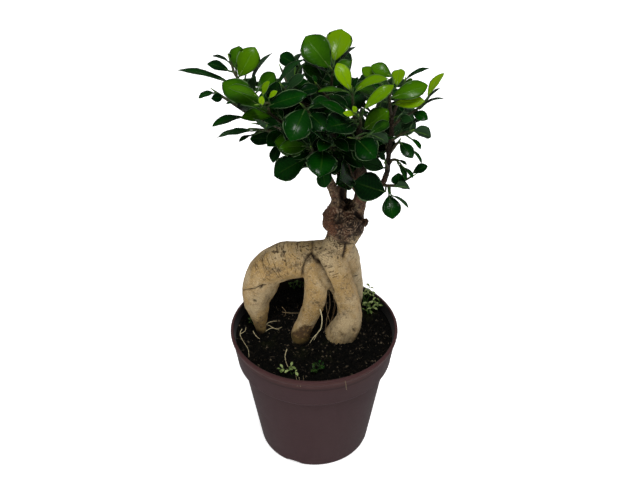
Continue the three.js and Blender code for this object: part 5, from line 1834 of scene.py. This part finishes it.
@dataclass
class NurseryPot:
    """The plastic nursery pot, turned from its outline, with arches in its foot."""

    finish: PlasticFinish = PlasticFinish()
    outside: Places = (
        (0, 0), (37.3, 0), (39.4, 0.9), (40.3, 3), (51.6, 73.4), (52.8, 75), (55.6, 77), (58.6, 97),
        (59.7, 99.2), (60, 101.2), (59.2, 102),
    )
    inside: Places = (
        (57.6, 102), (57, 98.4), (54.2, 77.8), (50.2, 73.4), (38.9, 3), (37.3, 2.2), (0, 2.2),
    )
    corner: float = 0.9
    steps: int = 192
    arch_turn: float = -22.6
    arch_count: int = 4
    arch_width: float = 14 * MM
    arch_height: float = 3.4 * MM
    arch_from: float = 33.3 * MM
    arch_to: float = 44 * MM
    arch_corners: int = 16
    sharp_angle: float = math.radians(35)

    def build(self) -> None:
        """Builds the pot and shows it in place of its node."""
        outline = rounded([*self.outside, *self.inside], self.corner)
        mesh = turned([(r * MM, z * MM) for r, z in outline], self.steps)
        cutter = placed("cutter", self.arches())

        def cut(carrier: Object) -> None:
            """Adds the modifier that cuts the arches."""
            boolean = carrier.modifiers.new("arches", "BOOLEAN")
            boolean.object = cutter
            boolean.solver = "MANIFOLD"

        mesh = evaluated(mesh, cut)
        bpy.data.objects.remove(cutter)
        mesh.materials.clear()
        mesh.materials.append(self.finish.material())
        piece = show("nursery_pot", mesh, "pot_plastic", "pot")
        piece.data.set_sharp_from_angle(angle=self.sharp_angle)

    def arches(self) -> Mesh:
        """Makes what the foot's arches are cut with.

        Returns:
            The solids, as one mesh.
        """
        angle = np.arange(self.arch_corners) * 2 * math.pi / self.arch_corners
        solids = []
        for number in range(self.arch_count):
            turn = math.radians(self.arch_turn + 360 / self.arch_count * number)
            sideways = np.array([math.cos(turn), math.sin(turn), 0]) * self.arch_width / 2
            section = np.outer(np.cos(angle), sideways) + np.outer(np.sin(angle), (0, 0, self.arch_height))
            outward = np.array([math.sin(turn), -math.cos(turn), 0])
            ends = [outward * reach for reach in (self.arch_from, self.arch_to)]
            solids.append(closed_skin([section + end for end in ends], *ends))
        return joined(solids)


@dataclass(frozen=True)
class PeatFinish:
    """The potting soil's colours: near-black peat with brown crumbs, grit and green film."""

    dark: Colour = srgb(7, 7, 6)
    brown: Colour = srgb(30, 26, 21)
    fibre: Colour = srgb(112, 100, 82)
    film: Colour = srgb(44, 50, 16)

    def material(self) -> Material:
        """Builds the peat's material, which reads the attributes tone and film.

        Returns:
            The material.
        """
        paint = Paint("peat")
        tone = paint.named("tone")
        clumps = paint.noise(paint.place, 260, 4, 0.7)
        grit = paint.noise(paint.place, 1300, 3, 0.7)
        patches = paint.noise(paint.place, 60, 3, 0.6)
        colour = paint.blend(paint.step(clumps + tone * 0.4, 0.65, 1.0), self.dark, self.brown)
        grains = paint.step(grit + paint.step(tone, 0.84, 1.0) * 0.3, 0.69, 0.9)
        colour = paint.blend(grains * 0.85, colour, self.fibre)
        film = paint.named("film") * paint.step(patches + (clumps - 0.5) * 0.6, 0.48, 0.62)
        colour = paint.blend(film * 0.13, colour, self.film)
        roughness = paint.step(clumps, 0.3, 0.7, (0.62, 0.95))
        return paint.finish(colour, roughness, clumps + grit * 0.6, 0.0008, {"Specular IOR Level": 0.08})


class SoilRelief(Shape):
    """The tree that roughens the soil's surface and strews crumbs and fibres over it."""

    def __init__(self) -> None:
        """Builds the tree."""
        sizes = {
            "Lumps": 5.0 * MM, "Grit": 2.6 * MM, "Crumbs": 420000.0, "Crumb Size": 1.15 * MM,
            "Fibres": 30000.0, "Fibre Length": 4.5 * MM, "Fibre Girth": 0.11 * MM, "Bend": 60.0, "Seed": 5,
        }
        super().__init__("soil_relief", sizes)
        self.place = self.node("GeometryNodeInputPosition")
        lumps = (self.noise(self.place, 120, 3, 0.6) - 0.5) * self.given("Lumps")
        grit = (self.noise(self.place, 480, 3, 0.7) - 0.5) * self.given("Grit")
        lift = self.combine(0, 0, (lumps + grit) * self.named("top"))
        ground = self.moved(self.given("Geometry"), lift)
        self.ground = self.store(ground, "tone", self.noise(self.place, 200, 2) * 0.6)
        parts = self.node("GeometryNodeJoinGeometry")
        for geometry in (self.ground, self.crumbs(), self.fibres()):
            self.tree.links.new(geometry.socket, parts.socket.node.inputs[0])
        self.end(parts)

    def crumbs(self) -> Link:
        """Strews crumbs of many sizes.

        Returns:
            The crumbs.
        """
        sockets = {"Radius": self.given("Crumb Size"), "Subdivisions": 1}
        lump = self.node("GeometryNodeMeshIcoSphere", None, sockets)
        looks = {
            "Rotation": self.chance((0.0, 0.0, 0.0), (6.28, 6.28, 6.28), 4),
            "Scale": self.chance((0.35, 0.35, 0.25), (1.3, 1.0, 0.8), 3),
        }
        return self.strewn(lump, "Crumbs", 0, looks, self.chance(-0.4, 1.0, 6))

    def fibres(self) -> Link:
        """Strews short bent fibres.

        Returns:
            The fibres.
        """
        sockets = {"Vertices": 4, "Side Segments": 4, "Radius": self.given("Fibre Girth")}
        sockets["Depth"] = self.given("Fibre Length")
        straw = self.node("GeometryNodeMeshCylinder", {"fill_type": "NGON"}, sockets)
        bend = self.part(self.place, "Z") ** 2 * self.given("Bend")
        straw = self.moved(straw, self.combine(bend, 0, 0))
        looks = {
            "Rotation": self.chance((1.1, 0.0, 0.0), (2.0, 6.28, 6.28), 9),
            "Scale": self.chance(0.4, 1.3, 10),
        }
        return self.strewn(straw, "Fibres", 7, looks, 1.6)

    def chance(self, low: Input, high: Input, seed: int) -> Link:
        """Returns a random number or vector for each copy, between two limits."""
        kind, first, output = ("FLOAT_VECTOR", 0, 0) if isinstance(low, tuple) else ("FLOAT", 2, 1)
        sockets = {first: low, first + 1: high, 8: seed}
        return self.node("FunctionNodeRandomValue", {"data_type": kind}, sockets, output)

    def strewn(self, piece: Link, density: str, seed: int, looks: Mapping[str, Link], tone: Number) -> Link:
        """Strews copies of a piece over the soil's top.

        Args:
            piece: What is copied.
            density: The input that says how many lie on a square metre.
            seed: What is added to the tree's seed for their places.
            looks: How each copy is turned and how large it is.
            tone: Its tone.

        Returns:
            The copies.
        """
        on_top = self.math("GREATER_THAN", self.named("top"), 0.3)
        sockets = {"Mesh": self.ground, "Selection": on_top, "Density": self.given(density)}
        sockets["Seed"] = self.given("Seed") + seed
        points = self.node("GeometryNodeDistributePointsOnFaces", None, sockets)
        sockets = {"Points": points, "Instance": piece, **looks}
        grown = self.node("GeometryNodeInstanceOnPoints", None, sockets)
        return self.store(grown, "tone", tone, "INSTANCE")


@dataclass
class PottingSoil:
    """The potting soil: a lumpy surface in the pot with crumbs and fibres lying on it."""

    finish: PeatFinish = PeatFinish()
    edge: float = 56.2 * MM
    edge_height: float = 95 * MM
    middle_height: float = 97.2 * MM
    bump: float = 0.9 * MM
    rings: int = 70
    steps: int = 220
    top_from: float = 90 * MM
    walls: Places = ((54.1, 78.2), (50.1, 73.6), (38.8, 3.1), (37.2, 2.3), (0, 2.3))
    green_spots: Places = (
        (266, 338, 15), (299, 350, 14), (327, 352, 14), (288, 370, 10), (317, 371, 10), (372, 316, 18),
    )

    def level(self, x: float, y: float) -> float:
        """Works out the height of the soil's surface.

        Args:
            x: Where, to the right of the pot's axis.
            y: And how far behind it.

        Returns:
            The height there.
        """
        x_mm, y_mm = x / MM, y / MM
        inward = max(0.0, 1 - math.hypot(x, y) / self.edge)
        bumps = math.sin(0.21 * x_mm + 1.3) * math.cos(0.17 * y_mm) + 0.5 * math.sin(0.4 * y_mm - 0.31 * x_mm)
        heap = (self.middle_height - self.edge_height) * min(1.0, 1.6 * inward)
        return self.edge_height + heap + self.bump * bumps * min(1.0, 4 * inward)

    def build(self) -> None:
        """Builds the soil and shows it in place of its node."""
        outline = [(0.0, self.middle_height)]
        outline += [(self.edge * ring / self.rings, self.edge_height) for ring in range(1, self.rings + 1)]
        outline += [(r * MM, z * MM) for r, z in self.walls]
        mesh = turned(list(reversed(outline)), self.steps)
        places = rows_of(mesh.vertices, "co")
        is_top = places[:, 2] > self.top_from
        for place in (places[number] for number in np.nonzero(is_top)[0]):
            place[2] = self.level(place[0], place[1])
        mesh.vertices.foreach_set("co", places.astype(np.float32).ravel())
        inward = 1 - np.hypot(places[:, 0], places[:, 1]) / self.edge
        put(mesh, "top", is_top * np.clip(inward * 12, 0, 1))
        seen = VIEW.picture_of(places)
        spots = [norm(seen - spot[:2], axis=1) / spot[2] for spot in self.green_spots]
        put(mesh, "film", np.clip(1.5 - 1.5 * np.min(spots, axis=0), 0, 1) * is_top)
        show("potting_soil", SoilRelief().run(mesh, self.finish.material()), "peat", "soil")


@dataclass(frozen=True)
class RootletFinish:
    """The fine rootlets' and dead stems' pale straw colours."""

    pale: Colour = srgb(188, 176, 138)
    dull: Colour = srgb(104, 84, 58)

    def material(self) -> Material:
        """Builds the rootlets' material, which reads the attribute tone.

        Returns:
            The material: tone is 0 on dull brown and 1 on pale ones.
        """
        paint = Paint("rootlet")
        flecks = paint.noise(paint.place, 700, 3, 0.6)
        tone = paint.named("tone") + (flecks - 0.5) * 0.8
        colour = paint.blend(paint.step(tone, 0.1, 0.9), self.dull, self.pale)
        return paint.finish(colour, 0.7 - (flecks - 0.5) * 0.3, flecks, 0.0002)


@dataclass(frozen=True)
class Thread:
    """A fine rootlet or dead stem: where it is seen, its depth in mm at each point, girth and tone."""

    seen: Places
    girth: float
    tone: float

    def places(self) -> list[Array]:
        """Returns the thread's points."""
        return [VIEW.at_depth(across, down, depth * MM) for across, down, depth in self.seen]


@dataclass
class SmallGrowth:
    """Rootlets between the roots, dead stems, seedlings in the soil and hairs over the lip."""

    foliage: Foliage
    soil: PottingSoil
    rootlets: RootletFinish = RootletFinish()
    threads: tuple[Thread, ...] = (
        Thread(
            ((320, 309, -13), (322, 318, -15), (321, 328, -16), (317, 334, -17), (314, 340, -18)), 0.75, 0.9
        ),
        Thread(((317, 334, -17), (313, 338, -19), (310, 343, -20)), 0.45, 0.8),
        Thread(((329, 292, 4), (330, 305, 2), (327, 318, 0), (325, 335, -2)), 0.7, 0.25),
        Thread(((333, 296, 5), (335, 308, 3), (331, 322, 0), (329, 338, -2)), 0.6, 0.1),
        Thread(((326, 300, 5), (327, 312, 2), (331, 326, 0), (333, 340, -2)), 0.5, 0.3),
        Thread(((336, 300, 6), (333, 313, 4), (334, 326, 1), (331, 340, -1)), 0.5, 0.0),
        Thread(((282, 312, 2), (290, 313, 1), (299, 313, 0)), 0.4, 0.3),
        Thread(((282, 307, 1), (286, 312, 1), (284, 317, 1)), 0.35, 0.3),
    )
    lying: tuple[Places, ...] = (
        ((242, 329, 6), (240, 334, 5), (243, 341, 3), (248, 349, 2), (249, 357, 1)),
        ((240, 334, 5), (245, 331, 8), (246, 327, 10)),
        ((287, 349, 5), (285, 356, 3), (286, 362, 2), (288, 367, 1)),
        ((253, 331, 3), (256, 336, 3), (260, 339, 2)),
        ((258, 323, 4), (268, 325, 5), (276, 329, 4), (282, 327, 3)),
        ((262, 327, 4), (270, 322, 7), (277, 321, 6)),
        ((266, 331, 3), (272, 328, 5), (279, 330, 2)),
    )
    blade_lengths: Pair = (2.4 * MM, 4.6 * MM)
    blade_width: float = 0.44
    # The last column is how bright the blades are, young colour with painted light.
    tufts: Places = (
        (287, 373, 3, 7, 1.1), (292, 375, 2, 6, 1.1), (282, 372, 1, 5, 0.8), (316, 373, 4, 5, 0.3),
        (321, 369, 3, 5, 0.2), (366, 306, 5, 12, 1.2), (372, 311, 4, 9, 1.0), (362, 299, 5, 13, 1.1),
        (378, 309, 3, 8, 0.8), (368, 314, 4, 7, 0.8), (364, 303, 4, 13, 1.2), (294, 289, 3, 6, 0.4),
        (300, 288, 3, 5, 0.3), (290, 286, 2, 5, 0.4), (254, 325, 2, 4, 0.4),
    )
    lip_hairs: Places = ((296, 380), (299, 381), (345, 384), (303, 380))
    lip_height: float = 100 * MM
    thread_girth: float = 0.65 * MM
    lying_girth: Pair = (0.26 * MM, 0.16 * MM)
    hair_girth: Pair = (0.1 * MM, 0.06 * MM)
    stem_girth: Pair = (0.28 * MM, 0.18 * MM)

    def build(self) -> None:
        """Builds the rootlets and the seedlings and shows them."""
        fine = Lines()
        for thread in self.threads:
            girth = thread.girth * self.thread_girth
            fine.add(thread.places(), (girth, girth * 0.5), (thread.tone, thread.tone))
        for line in self.lying:
            fine.add([self.above(*spot) for spot in line], self.lying_girth, (0.9, 0.6))
        for across, down in self.lip_hairs:
            start = VIEW.on_level(across, down - 4, self.lip_height)
            end = VIEW.on_level(across + 1.5, down + 6, self.lip_height - 2 * MM)
            middle = (start + end) / 2 + np.array([0, -0.5, 1.5]) * MM
            fine.add([start, middle, end], self.hair_girth, (0.5, 0.5))
        material = self.rootlets.material()
        show("rootlets", fine.mesh(self.foliage.twig_tree, material), "bark")
        stems, blades = Lines(), []
        for across, down, count, height, youth_and_light in self.tufts:
            self.sprout(self.above(across, down, 0), count, height * MM, youth_and_light, stems, blades)
        meshes = [
            stems.mesh(self.foliage.twig_tree, self.foliage.twig_material),
            self.foliage.blades_mesh(blades),
        ]
        show("seedlings", joined(meshes), "leaf")

    def above(self, across: float, down: float, lift: float) -> Array:
        """Finds a place over the soil by where it is seen.

        Args:
            across: The picture point's distance from the left.
            down: Its distance from the top.
            lift: The place's height over the soil, in mm.

        Returns:
            The place.
        """
        place = VIEW.on_level(across, down, self.soil.edge_height)
        for _ in range(3):
            level = self.soil.level(place[0], place[1]) + lift * MM
            place = VIEW.on_level(across, down, level)
        return place

    def sprout(
        self, foot: Array, count: int, height: float, youth_and_light: float, stems: Lines, blades: list[Blade]
    ) -> None:
        """Adds a small seedling: thin stems that fan out, with little blades.

        Args:
            foot: Where it grows.
            count: How many stems it has.
            height: How tall it is.
            youth_and_light: How bright its blades are, from young colour and painted light.
            stems: Where the stems are added.
            blades: Where the blades are added.
        """
        random = self.foliage.random
        for number in range(count):
            turn = 2 * math.pi * (number + random.random()) / count
            lean = random.uniform(0.2, 0.9)
            way = unit(np.array([math.cos(turn) * lean, math.sin(turn) * lean, 1.0]))
            top = foot + way * height * random.uniform(0.6, 1.0)
            bend = (foot + top) / 2 + np.array([0, 0, 0.12 * height])
            stems.add([foot - np.array([0, 0, 1 * MM]), bend, top], self.stem_girth, (0.8, 1.2))
            for side in (-1, 1):
                out = turn + side * random.uniform(0.9, 1.7)
                along = unit(np.array([math.cos(out), math.sin(out), random.uniform(-0.1, 0.5)]))
                up = unit(np.array([0, 0, 1.0]) - along * along[2])
                across = np.cross(up, along)
                length = random.uniform(*self.blade_lengths)
                width = length * self.blade_width
                young = youth_and_light * random.uniform(0.6, 1.0)
                blades.append(Blade(top, along, across, up, length, width, 0.1, top, young))


@dataclass
class Studio:
    """The pale floor and backdrop and the soft lights of the photograph."""

    floor_size: float = 6.0
    pale: Colour = srgb(250, 250, 250)
    floor_shade: Colour = srgb(246, 246, 247)
    backdrop_shade: Colour = srgb(244, 245, 246)
    white: Colour = (1.0, 1.0, 1.0, 1.0)
    world_strength: float = 0.15
    aim: Triple = (0, 0, 0.16)
    lamps: tuple[tuple[str, Triple, float, float], ...] = (
        ("key", (0.12, -0.95, 2.3), 1.2, 32.0), ("spark", (0.2, -1.0, 2.2), 0.32, 14.0),
        ("fill", (-0.9, -0.9, 0.7), 0.8, 3.0), ("rim", (0.5, 1.1, 1.0), 0.8, 5.0),
    )
    seen_in_gloss: str = "spark"

    def build(self) -> None:
        """Builds the floor, the backdrop, the lights and the world, and sets how colours are shown."""
        half = self.floor_size / 2
        corners = [(-half, -half, 0), (half, -half, 0), (half, half, 0), (-half, half, 0)]
        mesh = mesh_of(corners, [(0, 1, 2, 3)])
        self.stage("floor", mesh, self.floor_shade, 3.0, 0.8, 0.7).visible_glossy = False
        dome = bmesh.new()
        bmesh.ops.create_icosphere(dome, subdivisions=4, radius=self.floor_size * 1.5)
        mesh = bpy.data.meshes.new("backdrop")
        dome.to_mesh(mesh)
        dome.free()
        backdrop = self.stage("backdrop", mesh, self.backdrop_shade, 0.3, 0.9, 0.95)
        for ray in ("diffuse", "glossy", "transmission", "shadow"):
            setattr(backdrop, f"visible_{ray}", False)
        for lamp in self.lamps:
            self.light(*lamp)
        world = bpy.data.worlds.new("world")
        world.use_nodes = True
        world.node_tree.nodes["Background"].inputs["Color"].default_value = self.white
        world.node_tree.nodes["Background"].inputs["Strength"].default_value = self.world_strength
        bpy.context.scene.world = world
        bpy.context.scene.view_settings.view_transform = "Standard"

    def stage(
        self, name: str, mesh: Mesh, shade: Colour, scale: float, roughness: float, glow: float
    ) -> Object:
        """Builds a pale surface that isn't part of the plant.

        Args:
            name: Its name.
            mesh: Its mesh.
            shade: The colour of its clouds.
            scale: How fine they are.
            roughness: Its roughness.
            glow: How brightly it glows.

        Returns:
            Its object.
        """
        paint = Paint(name)
        colour = paint.blend(paint.noise(paint.place, scale, 2), self.pale, shade)
        lit = {"Emission Color": self.white, "Emission Strength": glow}
        mesh.materials.append(paint.finish(colour, roughness, None, 0.0, lit))
        surface = placed(name, mesh)
        return surface

    def light(self, name: str, place: Point, size: float, power: float) -> None:
        """Adds a soft square light that faces the plant.

        Args:
            name: Its name.
            place: Where it stands.
            size: The length of its sides.
            power: Its power in watts.
        """
        data = bpy.data.lights.new(name, "AREA")
        data.size = size
        data.energy = power
        lamp = placed(name, data)
        lamp.location = place
        lamp.rotation_euler = (Vector(self.aim) - Vector(place)).to_track_quat("-Z", "Y").to_euler()
        lamp.visible_glossy = name == self.seen_in_gloss


def main() -> None:
    """Builds the pieces in order."""
    logging.basicConfig(level=logging.INFO, format="%(message)s")
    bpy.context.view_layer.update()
    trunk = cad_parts["trunk_roots"]
    wood = surface_of([trunk])
    VIEW.make_camera()
    NurseryPot().build()
    soil = PottingSoil()
    soil.build()
    WoodyBody().build()
    foliage = Foliage()
    nodes = [node for name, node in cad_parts.items() if name.startswith("leafy_stem_")]
    stems = [LeafyStem(node, foliage, wood) for node in nodes]
    inner = InnerLeaves(stems, trunk)
    inner.fill()
    blades = sum(stem.build() for stem in stems)
    log.info("%d blades on %d stems, %d of them inside the crown", blades, len(stems), len(inner.taken))
    SmallGrowth(Foliage(SEEDLING_LEAF), soil).build()
    Studio().build()


if __name__ == "__main__":
    main()
